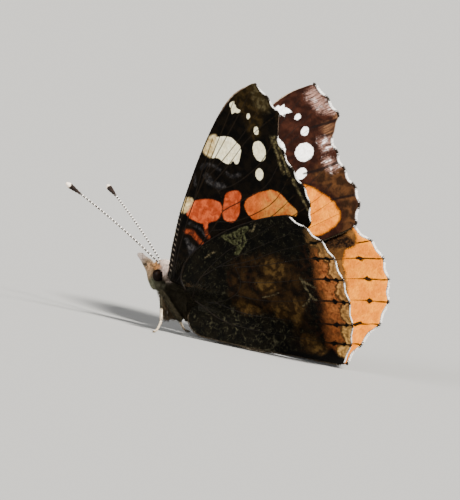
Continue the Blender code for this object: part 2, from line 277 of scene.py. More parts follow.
HIND_MARKS = {
    "triangle_under": {
        "patches": (
            ((5.3, 8.3), (6.8, 8.9), (8.0, 9.8), (9.1, 10.3), (9.4, 9.9), (8.8, 9.2), (9.3, 8.4), (8.9, 7.6),
             (8.2, 6.3), (7.5, 6.3), (7.9, 7.2), (6.9, 7.6), (5.8, 7.9)),
        ),
    },
    "line_under": {
        "strokes": (
            (((9.4, 9.7), (10.0, 9.9), (10.3, 10.9)), 0.14),
            (((3.2, 4.8), (4.0, 5.6), (4.8, 6.1)), 0.1),
            (((12.3, 1.5), (13.6, 2.0), (14.6, 2.6)), 0.04),
            (((17.7, 5.2), (18.3, 4.8), (19.3, 4.5), (20.2, 4.3)), 0.12),
            (((17.9, 5.1), (18.5, 4.1), (19.6, 3.0), (20.2, 2.8)), 0.15),
            (((19.4, 3.1), (18.9, 2.2), (18.2, 1.5)), 0.1),
        ),
    },
    "mottle_under": {
        "patches": (
            ((4.4, 1.2), (7.0, -0.2), (9.2, -0.9), (12.0, -0.6), (15.0, -1.2), (17.6, -2.7), (17.3, -4.4),
             (14.6, -5.6), (9.8, -5.4), (6.0, -4.8), (3.8, -2.6), (3.2, 0.0)),
        ),
    },
    "brown_under": {
        "patches": (
            ((7.2, 3.4), (7.7, 5.6), (10.4, 6.7), (12.2, 7.2), (15.6, 7.2), (18.4, 7.6), (18.9, 4.0),
             (18.8, 1.2), (18.0, -1.6), (15.4, -0.9), (12.0, -0.4), (9.6, -1.1), (8.0, -0.2)),
            ((16.4, -2.2), (18.8, -2.0), (21.2, -3.6), (20.4, -4.9), (17.8, -4.4)),
        ),
    },
    "ochre_under": {
        "patches": (
            ((11.8, 5.3), (12.5, 6.6), (13.9, 6.8), (15.2, 6.4), (15.5, 5.3), (14.7, 4.4), (13.2, 4.4)),
            ((11.2, 2.9), (11.9, 3.8), (13.7, 3.8), (14.2, 2.9), (12.9, 1.9), (11.7, 1.9)),
            ((16.5, 1.7), (17.6, 2.3), (18.2, 1.3), (17.5, -0.2), (17.1, -1.2), (16.3, -0.6)),
            ((17.6, -3.0), (18.8, -2.4), (19.8, -3.2), (20.9, -3.9), (20.4, -4.6), (18.3, -4.0)),
            ((13.8, 0.8), (15.3, 1.2), (16.0, 0.5), (14.2, -0.7)),
            ((8.4, -0.3), (9.6, 0.3), (11.2, 0.2), (11.5, -0.6), (9.9, -1.1)),
        ),
    },
    "dark_under": {
        "strokes": (
            (((10.7, 5.4), (9.9, 3.8), (10.7, 2.6), (12.1, 1.5)), 0.36),
            (((7.1, 3.6), (7.5, 2.0), (8.2, 0.6)), 0.2),
            (((12.0, 1.7), (13.8, 2.3), (15.4, 3.1), (17.4, 3.5)), 0.12),
            (((18.9, 1.0), (18.3, -0.1), (18.8, -1.3), (20.1, -2.0)), 0.24),
            (((17.7, 9.4), (18.3, 8.0), (18.9, 6.0), (19.6, 4.5), (20.6, 2.6), (20.6, 0.9)), 0.45),
            (((20.6, 0.9), (20.3, -1.1), (21.1, -2.8)), 0.45),
        ),
        "dots": (
            ((17.6, 6.7), 0.7, 0.55, 0),
            ((20.2, 2.5), 0.6, 0.6, 0),
            ((19.7, -0.3), 0.7, 0.55, 90),
        ),
    },
    "band_under": {
        "patches": (
            ((17.9, 11.6), (18.9, 9.4), (19.3, 8.1), (19.7, 6.6), (20.1, 4.7), (20.9, 3.1), (21.1, 1.6),
             (20.8, -0.3), (20.8, -1.8), (21.3, -3.3), (22.6, -4.2), (26.6, -3.6), (27.4, 1.0),
             (26.8, 6.0), (23.5, 11.2), (19.0, 13.4)),
        ),
    },
    "corner_under": {
        "patches": (
            ((21.6, -3.2), (22.6, -4.0), (24.4, -4.6), (24.2, -5.8), (15.0, -5.8), (16.0, -4.9), (20.4, -4.6)),
        ),
    },
    "orange_upper": {
        "patches": (
            ((15.8, 12.6), (17.6, 11.9), (18.6, 11.2), (19.0, 10.2), (18.8, 9.4), (18.0, 8.8), (18.1, 7.4),
             (18.8, 6.0), (19.6, 4.4), (20.2, 2.6), (20.6, 0.0), (20.3, -2.4), (21.6, -4.4), (25.2, -5.0),
             (27.0, -1.0), (27.2, 3.0), (25.6, 8.0), (21.0, 13.0), (17.4, 13.6)),
        ),
    },
    "dark_upper": {
        "patches": (((12.6, 10.6), (16.8, 10.8), (18.9, 10.0), (18.6, 9.2), (17.2, 8.9), (12.0, 9.0)),),
        "dots": (((21.0, 7.75), 0.32, 0.24, 80),),
    },
    "blue_upper": {
        "dots": (((22.9, -3.9), 0.75, 0.34, 30),),
    },
}
# Hair near the wings' roots: upper side -1 or underside 1, number, reach and colour.
ROOT_HAIRS = {
    "fore": ((-1.0, 900, 0.3, (0.024, 0.012, 0.005)), (1.0, 350, 0.12, (0.007, 0.0055, 0.003))),
    "hind": ((-1.0, 2000, 0.5, (0.035, 0.018, 0.006)), (1.0, 700, 0.16, (0.006, 0.0052, 0.0028))),
}
TIP_SHADE = 1.15

# The body: along, height above the floor, half width, half height.
THORAX = (
    (-2.6, 6.35, 0.35, 0.4), (-2.45, 6.3, 0.8, 0.95), (-1.9, 6.05, 1.3, 1.5), (-1.0, 5.65, 1.8, 2.1),
    (0.1, 5.2, 2.1, 2.5), (1.3, 4.85, 2.1, 2.5), (2.5, 4.55, 1.8, 2.15), (3.4, 4.4, 1.35, 1.6),
    (3.9, 4.35, 0.95, 1.1), (4.4, 4.3, 0.9, 0.95),
)
ABDOMEN = (
    (4.15, 4.3, 0.8, 0.85), (4.5, 4.25, 1.15, 1.2), (5.6, 4.05, 1.55, 1.6), (7.6, 3.75, 1.75, 1.75),
    (9.8, 3.4, 1.7, 1.65), (12.0, 3.1, 1.45, 1.4), (13.9, 2.85, 1.1, 1.1), (15.3, 2.7, 0.65, 0.7),
    (15.9, 2.65, 0.25, 0.3),
)
ABDOMEN_RINGS = 8
RING_GROOVE = 0.07
HEAD = (
    (-4.3, 7.0, 0.3, 0.4), (-4.2, 7.0, 0.75, 0.95), (-3.95, 7.0, 1.05, 1.3), (-3.5, 7.0, 1.2, 1.5),
    (-3.05, 6.95, 1.0, 1.3), (-2.75, 6.85, 0.8, 1.0), (-2.4, 6.6, 0.7, 0.85), (-2.0, 6.4, 0.7, 0.85),
)
EYE_CENTRE = (-3.65, 1.05, 7.05)
EYE_RADII = (0.76, 0.6, 0.82)
# Along, out to the side, height, radius.
PALP = (
    (-3.75, 0.5, 5.3, 0.24), (-4.15, 0.52, 5.4, 0.38), (-4.72, 0.5, 6.2, 0.44), (-5.2, 0.49, 7.35, 0.47),
    (-6.15, 0.46, 8.4, 0.42), (-7.1, 0.42, 9.15, 0.33),
)
FORELEG = (
    (-1.45, 0.85, 3.8, 0.3), (-1.05, 1.25, 3.05, 0.36), (-0.95, 1.4, 2.4, 0.33), (-1.25, 1.42, 1.95, 0.3),
    (-1.65, 1.35, 2.3, 0.3), (-1.95, 1.2, 3.1, 0.34), (-2.6, 1.0, 4.3, 0.25),
)
ANTENNA_BASE = (-3.95, 0.5, 8.5)
ANTENNA_TIPS = {1: (-15.65, 6.5, 16.65), -1: (-15.75, 8.65, 16.85)}
ANTENNA_SAG = 0.35
ANTENNA_RADIUS = 0.13
CLUB_RADIUS = 0.37
CLUB_SHARE = 0.155
ANTENNA_SEGMENTS = 32
# Walking legs: along, out, height, radius. The named stations are the joints.
MIDLEG = (
    (0.75, 1.1, 2.3, 0.26), (0.45, 1.5, 2.25, 0.32), (-0.7, 2.35, 3.55, 0.3), (-1.75, 3.02, 4.8, 0.2),
    (-1.95, 3.2, 4.8, 0.19), (-1.6, 3.4, 3.4, 0.2), (-1.2, 3.6, 1.55, 0.17), (-1.05, 4.3, 0.9, 0.14),
    (-0.95, 5.2, 0.36, 0.13), (-0.85, 6.2, 0.17, 0.12), (-0.8, 6.6, 0.16, 0.1),
)
HINDLEG = (
    (2.2, 0.9, 2.2, 0.26), (2.7, 1.1, 1.8, 0.3), (4.6, 1.35, 1.55, 0.26), (6.3, 1.4, 1.3, 0.19),
    (7.8, 1.35, 0.72, 0.18), (9.3, 1.3, 0.34, 0.14), (10.6, 1.25, 0.18, 0.13), (12.2, 1.15, 0.16, 0.12),
    (12.7, 1.12, 0.16, 0.1),
)
COAT_DEPTH = 0.24
TIP_TRIM = 0.72
SKIN_VOXEL = 0.085

# The camera: the photograph's view in the frame, with the roll that levels the floor.
VIEW_TURN = math.radians(20.0)
VIEW_ROLL = math.radians(11.3)
PIXELS_PER_MM = 7.68
PHOTO_LONG_SIDE = 500
CAMERA_DISTANCE = 2.4
SENSOR = 36.0
TARGET_RIGHT = 5.86
TARGET_UP = 5.21


def select_nothing():
    bpy.ops.object.select_all(action="DESELECT")


def read_points(mesh):
    found = np.empty(len(mesh.vertices) * 3)
    mesh.vertices.foreach_get("co", found)
    return found.reshape(-1, 3)


def write_points(mesh, points):
    mesh.vertices.foreach_set("co", np.ascontiguousarray(points, np.float32).ravel())
    mesh.update()


def write_values(mesh, name, values):
    """A number for each vertex, or a place or a colour where each value has three or four."""
    values = np.ascontiguousarray(values, np.float32)
    if values.ndim == 1:
        made = mesh.attributes.new(name, "FLOAT", "POINT")
        made.data.foreach_set("value", values)
    elif values.shape[1] == 3:
        made = mesh.attributes.new(name, "FLOAT_VECTOR", "POINT")
        made.data.foreach_set("vector", values.ravel())
    else:
        made = mesh.attributes.new(name, "FLOAT_COLOR", "POINT")
        made.data.foreach_set("color", values.ravel())


def read_values(mesh, name):
    data = mesh.attributes[name].data
    found = np.empty(len(data), np.float32)
    data.foreach_get("value", found)
    return found.astype(float)


def unit(vectors):
    return vectors / np.maximum(np.linalg.norm(vectors, axis=-1, keepdims=True), 1e-9)


def apply_modifier(piece, modifier):
    select_nothing()
    piece.select_set(True)
    bpy.context.view_layer.objects.active = piece
    bpy.ops.object.modifier_apply(modifier=modifier.name)


def face_outward(piece):
    select_nothing()
    piece.select_set(True)
    bpy.context.view_layer.objects.active = piece
    bpy.ops.object.mode_set(mode="EDIT")
    bpy.ops.mesh.select_all(action="SELECT")
    bpy.ops.mesh.normals_make_consistent(inside=False)
    bpy.ops.object.mode_set(mode="OBJECT")


def join(pieces):
    select_nothing()
    for piece in pieces:
        piece.select_set(True)
    bpy.context.view_layer.objects.active = pieces[0]
    bpy.ops.object.join()
    return pieces[0]


def settle(piece, name, nodes=(), smooth=True):
    """The piece in metres in the frame, riding on the body and standing for its nodes."""
    piece.name = name
    piece.data.name = name
    piece.data.transform(Matrix.Translation((-HINGE_X * MM, 0, 0)) @ Matrix.Scale(MM, 4))
    if smooth:
        piece.data.shade_smooth()
    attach(piece, "root")
    if nodes:
        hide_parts(*nodes)
    return piece


# Lines and distances

def curve_through(points, steps):
    """Points of a smooth curve through the given ones, steps to each span."""
    points = np.array(points, float)
    first = 2 * points[0] - points[1]
    last = 2 * points[-1] - points[-2]
    padded = np.vstack([first, points, last])
    found = []
    for i in range(len(points) - 1):
        a, b, c, d = padded[i : i + 4]
        for t in np.arange(steps) / steps:
            found.append(
                0.5 * (2 * b + (c - a) * t + (2 * a - 5 * b + 4 * c - d) * t**2
                       + (3 * b - a - 3 * c + d) * t**3)
            )
    found.append(points[-1])
    return np.array(found)


def closed_curve(points, steps):
    """The same round a closed outline."""
    points = np.array(points, float)
    wrapped = np.vstack([points[-1:], points, points[:2]])
    return curve_through(wrapped, steps)[steps : steps * (len(points) + 1) + 1]


def run_of(line):
    lengths = np.linalg.norm(np.diff(line, axis=0), axis=1)
    return np.concatenate([[0], np.cumsum(lengths)])


def at_shares(line, shares):
    """Places at the given shares of a line's length."""
    run = run_of(line)
    wanted = np.asarray(shares) * run[-1]
    return np.column_stack([np.interp(wanted, run, line[:, i]) for i in range(line.shape[1])])


def line_distance(points, line):
    """Each point's distance to a line, and how far along the line its nearest place is."""
    best = np.full(len(points), np.inf)
    where = np.zeros(len(points))
    run = run_of(line)
    for start, end, before in zip(line[:-1], line[1:], run[:-1]):
        step = end - start
        length = np.linalg.norm(step)
        if length < 1e-9:
            continue
        share = np.clip((points - start) @ step / length**2, 0, 1)
        gap = np.linalg.norm(points - start - share[:, None] * step, axis=1)
        nearer = gap < best
        best[nearer] = gap[nearer]
        where[nearer] = before + share[nearer] * length
    return best, where


def inside(points, ring):
    x, y = points[:, 0], points[:, 1]
    found = np.zeros(len(points), bool)
    for (x0, y0), (x1, y1) in zip(ring[:-1], ring[1:]):
        if y0 == y1:
            continue
        crosses = (y0 > y) != (y1 > y)
        found ^= crosses & (x < x0 + (y - y0) * (x1 - x0) / (y1 - y0))
    return found


def mark_depth(points, mark):
    """How deep inside a mark each point lies, in millimetres, and negative outside it."""
    depth = np.full(len(points), -9.0)
    for outline in mark.get("patches", ()):
        ring = closed_curve(outline, 4)
        gap, _ = line_distance(points, ring)
        depth = np.maximum(depth, np.where(inside(points, ring), gap, -gap))
    for line, half_width in mark.get("strokes", ()):
        gap, _ = line_distance(points, curve_through(line, 4))
        depth = np.maximum(depth, half_width - gap)
    for centre, long, short, turn in mark.get("dots", ()):
        offset = points - centre
        c, s = math.cos(math.radians(turn)), math.sin(math.radians(turn))
        x = (offset[:, 0] * c + offset[:, 1] * s) / long
        y = (-offset[:, 0] * s + offset[:, 1] * c) / short
        depth = np.maximum(depth, (1 - np.hypot(x, y)) * min(long, short))
    return depth


# Wing surfaces

def soft_max(a, b, softness):
    return b + softness * np.log1p(np.exp((a - b) / softness))


def eased(value):
    value = np.clip(value, 0, 1)
    return value * value * (3 - 2 * value)


def forewing_side(along, up):
    """How far out the forewing lies: upright at the hinge, then leaning outward."""
    return soft_max(SPREAD_BACK * along + SPREAD_UP * up, HINGE_SIDE, 1.0)


def hindwing_side(along, up):
    """Outside the forewing above, and folded in below, as a trough for the abdomen."""
    clear_of_forewing = WING_TO_WING * eased((up - START_HEIGHT) / START_RUN)
    back = (along - FOLD_START) / FOLD_LENGTH
    fold_height = FOLD_HEIGHT + FOLD_CLIMB * back
    fold_width = FOLD_WIDTH + FOLD_WIDENING * np.maximum(back, 0)
    fold = FOLD_TURN * fold_width * np.log1p(np.exp((fold_height - up) / fold_width))
    leaning = forewing_side(along, up) + clear_of_forewing - fold
    closing = eased((along - CLOSING_START) / CLOSING_RUN)
    trough = TROUGH_SIDE + (TROUGH_CLOSED - TROUGH_SIDE) * closing
    return soft_max(leaning, trough, TROUGH_SOFTNESS)


def wing_places(rule, side, flat, lift=0.0):
    """Places of a wing's middle, lifted towards its underside, and the underside's normals."""
    along, up = flat[:, 0], flat[:, 1]
    step = 0.02
    slope_along = (rule(along + step, up) - rule(along - step, up)) / (2 * step)
    slope_up = (rule(along, up + step) - rule(along, up - step)) / (2 * step)
    normals = unit(np.column_stack([-slope_along, np.ones(len(flat)), -slope_up]))
    places = np.column_stack([along, rule(along, up), up + HINGE_Z])
    places = places + normals * np.broadcast_to(lift, len(flat))[:, None]
    mirror = np.array([1, side, 1])
    return places * mirror, normals * mirror


def flat_to_space(rule, side, flat, direction):
    """A direction in the wing's plane as one in space, along the wing's surface."""
    step = 0.02
    here, _ = wing_places(rule, side, flat)
    there, _ = wing_places(rule, side, flat + direction * step)
    return unit(there - here)


def rounded_rim(costa, margin, back):
    """One line round the wing, rounded where the margin meets the two edges, and their shares."""
    rim = np.vstack([costa, margin, back])
    run = run_of(rim)
    corners = run[[len(costa), len(costa) + len(margin) - 1]] / run[-1]
    place = np.linspace(0, 1, RIM_STEPS + 1)
    even = at_shares(rim, place)
    offsets = np.arange(-ROUNDING_STEPS, ROUNDING_STEPS + 1) * run[-1] / RIM_STEPS
    kernel = np.exp(-((offsets / CORNER_ROUNDING) ** 2))
    kernel /= kernel.sum()
    before = np.repeat(even[:1], ROUNDING_STEPS, axis=0)
    after = np.repeat(even[-1:], ROUNDING_STEPS, axis=0)
    padded = np.vstack([before, even, after])
    soft = np.column_stack([np.convolve(padded[:, i], kernel, mode="valid") for i in range(2)])
    weight = np.zeros(len(place))
    for corner in corners:
        weight = np.maximum(weight, np.exp(-(((place - corner) * run[-1] / CORNER_REACH) ** 2)))
    return even + (soft - even) * weight[:, None], corners


class WingPlan:
    """A wing laid flat: its edges, its veins and the guides that its pattern follows."""

    def __init__(self, plan, veins, marks, rule):
        self.rule = rule
        self.marks = marks
        self.root = np.array(plan["root"])
        costa = curve_through(plan["costa"], 8)
        back = curve_through(plan["inner"], 8)
        outer = curve_through(plan["outer"], 24)
        shares = np.linspace(0, 1, 20 * SCALLOPS + 1)
        smooth = at_shares(outer, shares)
        edge = np.gradient(smooth, axis=0)
        inward = unit(np.column_stack([edge[:, 1], -edge[:, 0]]))
        drawn = SCALLOP_DEPTH * np.sin(math.pi * SCALLOPS * shares) ** 2
        margin = smooth + inward * (drawn + FRINGE_LENGTH)[:, None]
        costa = costa[np.linalg.norm(costa - margin[0], axis=1) > 0.5]
        back = back[np.linalg.norm(back - margin[-1], axis=1) > 0.5]
        self.rim, (front_end, back_start) = rounded_rim(costa, margin, back)
        self.costa = at_shares(self.rim, np.linspace(0, front_end, EDGE_STEPS))
        self.membrane = at_shares(self.rim, np.linspace(front_end, back_start, len(margin)))
        self.back = at_shares(self.rim, np.linspace(back_start, 1, EDGE_STEPS))
        edge = np.gradient(self.membrane, axis=0)
        self.inward = unit(np.column_stack([edge[:, 1], -edge[:, 0]]))
        self.veins = []
        for points, tip in veins:
            points = list(points)
            if tip is not None:
                points.append(tuple(self.membrane[20 * tip]))
            self.veins.append(curve_through(points, 8))

    def flat(self, across, reach):
        """Places in the wing's plane: across runs round the edge, reach from the root to it."""
        rim = at_shares(self.rim, across)
        start = self.root[0] + (self.root[1] - self.root[0]) * across[:, None]
        return start + (rim - start) * reach[:, None]

    def measure(self, flat):
        """The guides and the marks at each flat place."""
        found = {}
        found["to_margin"], run = line_distance(flat, self.membrane)
        found["cell"] = run / run_of(self.membrane)[-1] * SCALLOPS
        nearest = np.full(len(flat), 9.0)
        for vein in self.veins:
            gap, _ = line_distance(flat, vein)
            nearest = np.minimum(nearest, gap)
        found["to_vein"] = nearest
        found["to_costa"], found["costa_run"] = line_distance(flat, self.costa)
        for name, mark in self.marks.items():
            found[name] = mark_depth(flat, mark)
        return found


FORE = WingPlan(FORE_PLAN, FORE_VEINS, FORE_MARKS, forewing_side)
HIND = WingPlan(HIND_PLAN, HIND_VEINS, HIND_MARKS, hindwing_side)


# Materials

class Shade:
    """Short calls that add nodes to one tree and join them."""

    def __init__(self, tree):
        self.tree = tree

    def add(self, kind, **settings):
        made = self.tree.nodes.new(kind)
        for key, value in settings.items():
            setattr(made, key, value)
        return made

    def feed(self, socket, value):
        if isinstance(value, bpy.types.NodeSocket):
            self.tree.links.new(value, socket)
        else:
            socket.default_value = value

    def math(self, operation, *values, clamp=False):
        node = self.add("ShaderNodeMath", operation=operation, use_clamp=clamp)
        for socket, value in zip(node.inputs, values):
            self.feed(socket, value)
        return node.outputs[0]

    def mix(self, share, one, two, blend="MIX"):
        node = self.add("ShaderNodeMix", data_type="RGBA", blend_type=blend)
        self.feed(node.inputs["Factor"], share)
        self.feed(node.inputs[6], one)
        self.feed(node.inputs[7], two)
        return node.outputs[2]

    def step(self, value, low, high):
        """0 at low, 1 at high, and smooth between."""
        node = self.add("ShaderNodeMapRange", interpolation_type="SMOOTHSTEP")
        self.feed(node.inputs["Value"], value)
        self.feed(node.inputs["From Min"], low)
        self.feed(node.inputs["From Max"], high)
        return node.outputs["Result"]

    def attribute(self, name, output="Fac"):
        return self.add("ShaderNodeAttribute", attribute_name=name).outputs[output]

    def noise(self, place, scale, detail=2.0, warp=0.0, rough=0.5):
        node = self.add("ShaderNodeTexNoise")
        self.feed(node.inputs["Vector"], place)
        self.feed(node.inputs["Scale"], scale)
        self.feed(node.inputs["Detail"], detail)
        self.feed(node.inputs["Distortion"], warp)
        self.feed(node.inputs["Roughness"], rough)
        return node.outputs["Fac"]

    def cells(self, place, scale, feature="F1", output="Distance"):
        node = self.add("ShaderNodeTexVoronoi", feature=feature)
        self.feed(node.inputs["Vector"], place)
        self.feed(node.inputs["Scale"], scale)
        return node.outputs[output]

    def stretched(self, place, scale, turn=0.0):
        node = self.add("ShaderNodeMapping")
        self.feed(node.inputs["Vector"], place)
        node.inputs["Scale"].default_value = scale
        node.inputs["Rotation"].default_value = (0, 0, turn)
        return node.outputs["Vector"]

    def parts(self, place):
        """A place's three numbers."""
        node = self.add("ShaderNodeSeparateXYZ")
        self.feed(node.inputs[0], place)
        return node.outputs

    def joined(self, x, y):
        node = self.add("ShaderNodeCombineXYZ")
        self.feed(node.inputs["X"], x)
        self.feed(node.inputs["Y"], y)
        return node.outputs[0]

    def warped(self, place, scale, reach):
        """The place pushed about by a coarse noise."""
        noise = self.add("ShaderNodeTexNoise")
        self.feed(noise.inputs["Vector"], place)
        self.feed(noise.inputs["Scale"], scale)
        push = self.add("ShaderNodeVectorMath", operation="MULTIPLY_ADD")
        self.feed(push.inputs[0], noise.outputs["Color"])
        self.feed(push.inputs[1], (reach, reach, 0.0))
        self.feed(push.inputs[2], place)
        return push.outputs[0]

    def group(self, tree, **values):
        node = self.add("ShaderNodeGroup", node_tree=tree)
        for key, value in values.items():
            self.feed(node.inputs[key], value)
        return node.outputs


def colour(red, green, blue):
    return (red, green, blue, 1.0)


def new_group(name, inputs, outputs):
    tree = bpy.data.node_groups.new(name, "ShaderNodeTree")
    for label, kind in inputs:
        tree.interface.new_socket(label, in_out="INPUT", socket_type=kind)
    for label, kind in outputs:
        tree.interface.new_socket(label, in_out="OUTPUT", socket_type=kind)
    shade = Shade(tree)
    start = shade.add("NodeGroupInput").outputs
    end = shade.add("NodeGroupOutput").inputs
    return tree, shade, start, end


def mark_edge_group():
    """A mark's mask from its depth, with an edge as ragged as rows of scales."""
    tree, shade, start, end = new_group(
        "mark_edge",
        (("Place", "NodeSocketVector"), ("Depth", "NodeSocketFloat"),
         ("Wander", "NodeSocketFloat"), ("Soft", "NodeSocketFloat")),
        (("Mask", "NodeSocketFloat"),),
    )
    fine = shade.noise(start["Place"], 5.5, 2.0)
    coarse = shade.noise(start["Place"], 1.4, 1.0)
    ragged = shade.math("ADD", shade.math("MULTIPLY", fine, 0.6), shade.math("MULTIPLY", coarse, 0.4))
    moved = shade.math("MULTIPLY_ADD", shade.math("SUBTRACT", ragged, 0.5), start["Wander"], start["Depth"])
    low = shade.math("MULTIPLY", start["Soft"], -0.5)
    high = shade.math("MULTIPLY", start["Soft"], 0.5)
    shade.feed(end["Mask"], shade.step(moved, low, high))
    return tree


def scale_grain_group():
    """The roof-tile grain of wing scales: a tint that changes from scale to scale, and a height."""
    tree, shade, start, end = new_group(
        "scale_grain",
        (("Place", "NodeSocketVector"), ("Scales per mm", "NodeSocketFloat")),
        (("Tint", "NodeSocketFloat"), ("Height", "NodeSocketFloat")),
    )
    long = shade.stretched(start["Place"], (1.0, 0.55, 1.0))
    tint = shade.cells(long, start["Scales per mm"], output="Color")
    split = shade.add("ShaderNodeSeparateColor")
    shade.feed(split.inputs["Color"], tint)
    height = shade.cells(long, start["Scales per mm"])
    shade.feed(end["Tint"], split.outputs["Red"])
    shade.feed(end["Height"], shade.math("SUBTRACT", 1.0, height))
    return tree


def squiggle_group():
    """Thin wandering lines, as in the marbling of the hindwing's underside."""
    tree, shade, start, end = new_group(
        "squiggle",
        (("Place", "NodeSocketVector"), ("Scale", "NodeSocketFloat"), ("Width", "NodeSocketFloat")),
        (("Mask", "NodeSocketFloat"),),
    )
    field = shade.noise(start["Place"], start["Scale"], 1.5, 1.1)
    masks = []
    for level in (0.44, 0.56):
        off = shade.math("ABSOLUTE", shade.math("SUBTRACT", field, level))
        masks.append(shade.math("SUBTRACT", 1.0, shade.step(off, 0.0, start["Width"])))
    broken = shade.step(shade.noise(start["Place"], 1.9, 2.0), 0.42, 0.6)
    lines = shade.math("MAXIMUM", masks[0], masks[1])
    shade.feed(end["Mask"], shade.math("MULTIPLY", lines, broken))
    return tree


MARK_EDGE = mark_edge_group()
SCALE_GRAIN = scale_grain_group()
SQUIGGLE = squiggle_group()


def new_look(name, roughness=0.6, specular=0.03):
    """A material with its tree, its Principled shader and a helper for its nodes."""
    look = bpy.data.materials.new(name)
    look.use_nodes = True
    shader = look.node_tree.nodes["Principled BSDF"]
    shader.inputs["Roughness"].default_value = roughness
    shader.inputs["Specular IOR Level"].default_value = specular
    return look, Shade(look.node_tree), shader


def bumped(shade, shader, height, distance, strength=0.6):
    bump = shade.add("ShaderNodeBump")
    bump.inputs["Strength"].default_value = strength
    bump.inputs["Distance"].default_value = distance
    shade.feed(bump.inputs["Height"], height)
    shade.feed(shader.inputs["Normal"], bump.outputs["Normal"])


def edge_mask(shade, place, depth, wander=0.25, soft=0.12):
    return shade.group(MARK_EDGE, Place=place, Depth=depth, Wander=wander, Soft=soft)["Mask"]


def brushed(shade, low, high, strokes=9.0):
    """Strokes that run in from the margin, as a mask."""
    run = shade.joined(
        shade.math("MULTIPLY", shade.attribute("cell"), strokes),
        shade.math("MULTIPLY", shade.attribute("to_margin"), 0.7),
    )
    return shade.step(shade.noise(run, 1.0, 3.0), low, high)


def vein_strokes(shade, place, low, high):
    """Short strokes that run the way of the forewing's outer veins, as a mask."""
    node = shade.add("ShaderNodeMapping", vector_type="TEXTURE")
    shade.feed(node.inputs["Vector"], place)
    node.inputs["Rotation"].default_value = (0, 0, STROKE_TURN)
    node.inputs["Scale"].default_value = STROKE_SIZE
    return shade.step(shade.noise(node.outputs["Vector"], 1.0, 3.0), low, high)


def scaled_finish(shade, shader, place, paint, grain=0.35, scales=7.0):
    """Ends a wing material: the paint broken into scales, and their relief."""
    out = shade.group(SCALE_GRAIN, Place=place, **{"Scales per mm": scales})
    shine = shade.math("MULTIPLY_ADD", out["Tint"], grain, 1.0 - grain * 0.5)
    node = shade.add("ShaderNodeVectorMath", operation="SCALE")
    shade.feed(node.inputs[0], paint)
    shade.feed(node.inputs["Scale"], shine)
    shade.feed(shader.inputs["Base Color"], node.outputs[0])
    rough = shade.math("MULTIPLY_ADD", out["Tint"], 0.2, 0.55)
    shade.feed(shader.inputs["Roughness"], rough)
    bumped(shade, shader, out["Height"], 0.00004)


def painted(shade, place, ground, layers):
    """Marks laid over the ground in order: attribute, paint, wander and softness of the edge."""
    paint = ground
    for name, tint, wander, soft in layers:
        mask = edge_mask(shade, place, shade.attribute(name), wander, soft)
        paint = shade.mix(mask, paint, tint)
    return paint


def two_tone(shade, place, dark, light, scale=1.2, low=0.4, high=0.65, detail=4.0, warp=0.3):
    field = shade.noise(place, scale, detail, warp)
    return shade.mix(shade.step(field, low, high), dark, light)


def vein_mask(shade, half_width):
    return shade.math("SUBTRACT", 1.0, shade.step(shade.attribute("to_vein"), half_width * 0.5, half_width * 1.6))


def forewing_under_look():
    look, shade, shader = new_look("forewing_under_scales")
    place = shade.attribute("wing_place", "Vector")
    ground = two_tone(shade, place, colour(0.0008, 0.0006, 0.0004), colour(0.0035, 0.0022, 0.001), 0.9)
    olive = two_tone(shade, place, colour(0.006, 0.0034, 0.0008), colour(0.022, 0.013, 0.0035), 1.3)
    ground = shade.mix(edge_mask(shade, place, shade.attribute("apex_under"), 1.1, 0.9), ground, olive)
    cream = two_tone(shade, place, colour(0.42, 0.29, 0.12), colour(0.7, 0.55, 0.28), 2.0)
    white = two_tone(shade, place, colour(0.82, 0.73, 0.47), colour(0.94, 0.88, 0.62), 1.5)
    red = two_tone(shade, place, colour(0.27, 0.036, 0.009), colour(0.45, 0.078, 0.022), 1.2)
    orange = two_tone(shade, place, colour(0.33, 0.058, 0.009), colour(0.5, 0.105, 0.018), 0.7)
    streaks = brushed(shade, 0.35, 0.6, 6.0)
    outward = shade.step(shade.parts(place)["X"], 9.5, 12.5)
    tan = shade.math("MULTIPLY", streaks, outward)
    orange = shade.mix(shade.math("MULTIPLY", tan, 0.75), orange, colour(0.48, 0.22, 0.04))
    grey = two_tone(shade, place, colour(0.007, 0.0065, 0.007), colour(0.034, 0.031, 0.03), 2.0)
    pale = two_tone(shade, place, colour(0.02, 0.015, 0.006), colour(0.12, 0.1, 0.046), 1.9)
    dim_red = two_tone(shade, place, colour(0.05, 0.01, 0.004), colour(0.2, 0.034, 0.01), 1.6)
    hoary = two_tone(shade, place, colour(0.02, 0.013, 0.004), colour(0.055, 0.043, 0.02), 1.4)
    paint = painted(shade, place, ground, (
        ("grey_apex_under", hoary, 1.4, 1.0),
        ("pale_olive_under", pale, 0.9, 0.4),
        ("grey_under", grey, 0.9, 0.45),
        ("dim_red_under", dim_red, 0.5, 0.4),
        ("orange_under", orange, 0.45, 0.22),
        ("red_under", red, 0.4, 0.22),
        ("white_under", white, 0.25, 0.1),
        ("cream_under", cream, 0.3, 0.5),
    ))
    paint = shade.mix(shade.math("MULTIPLY", vein_mask(shade, 0.07), 0.8), paint, colour(0.012, 0.007, 0.003))
    slant = shade.math("MULTIPLY_ADD", shade.attribute("to_costa"), 0.9, shade.attribute("costa_run"))
    tick = shade.step(shade.math("PINGPONG", slant, 0.34), 0.2, 0.27)
    on_costa = shade.math("SUBTRACT", 1.0, shade.step(shade.attribute("to_costa"), 0.25, 0.42))
    low_part = shade.math("SUBTRACT", 1.0, shade.step(shade.attribute("costa_run"), 7.4, 8.2))
    tick = shade.math("MULTIPLY", shade.math("MULTIPLY", tick, on_costa), low_part)
    paint = shade.mix(tick, paint, colour(0.085, 0.07, 0.055))
    rim = shade.math("SUBTRACT", 1.0, shade.step(shade.attribute("to_margin"), 0.05, 0.4))
    paint = shade.mix(shade.math("MULTIPLY", rim, 0.8), paint, colour(0.002, 0.0015, 0.001))
    scaled_finish(shade, shader, place, paint)
    return look


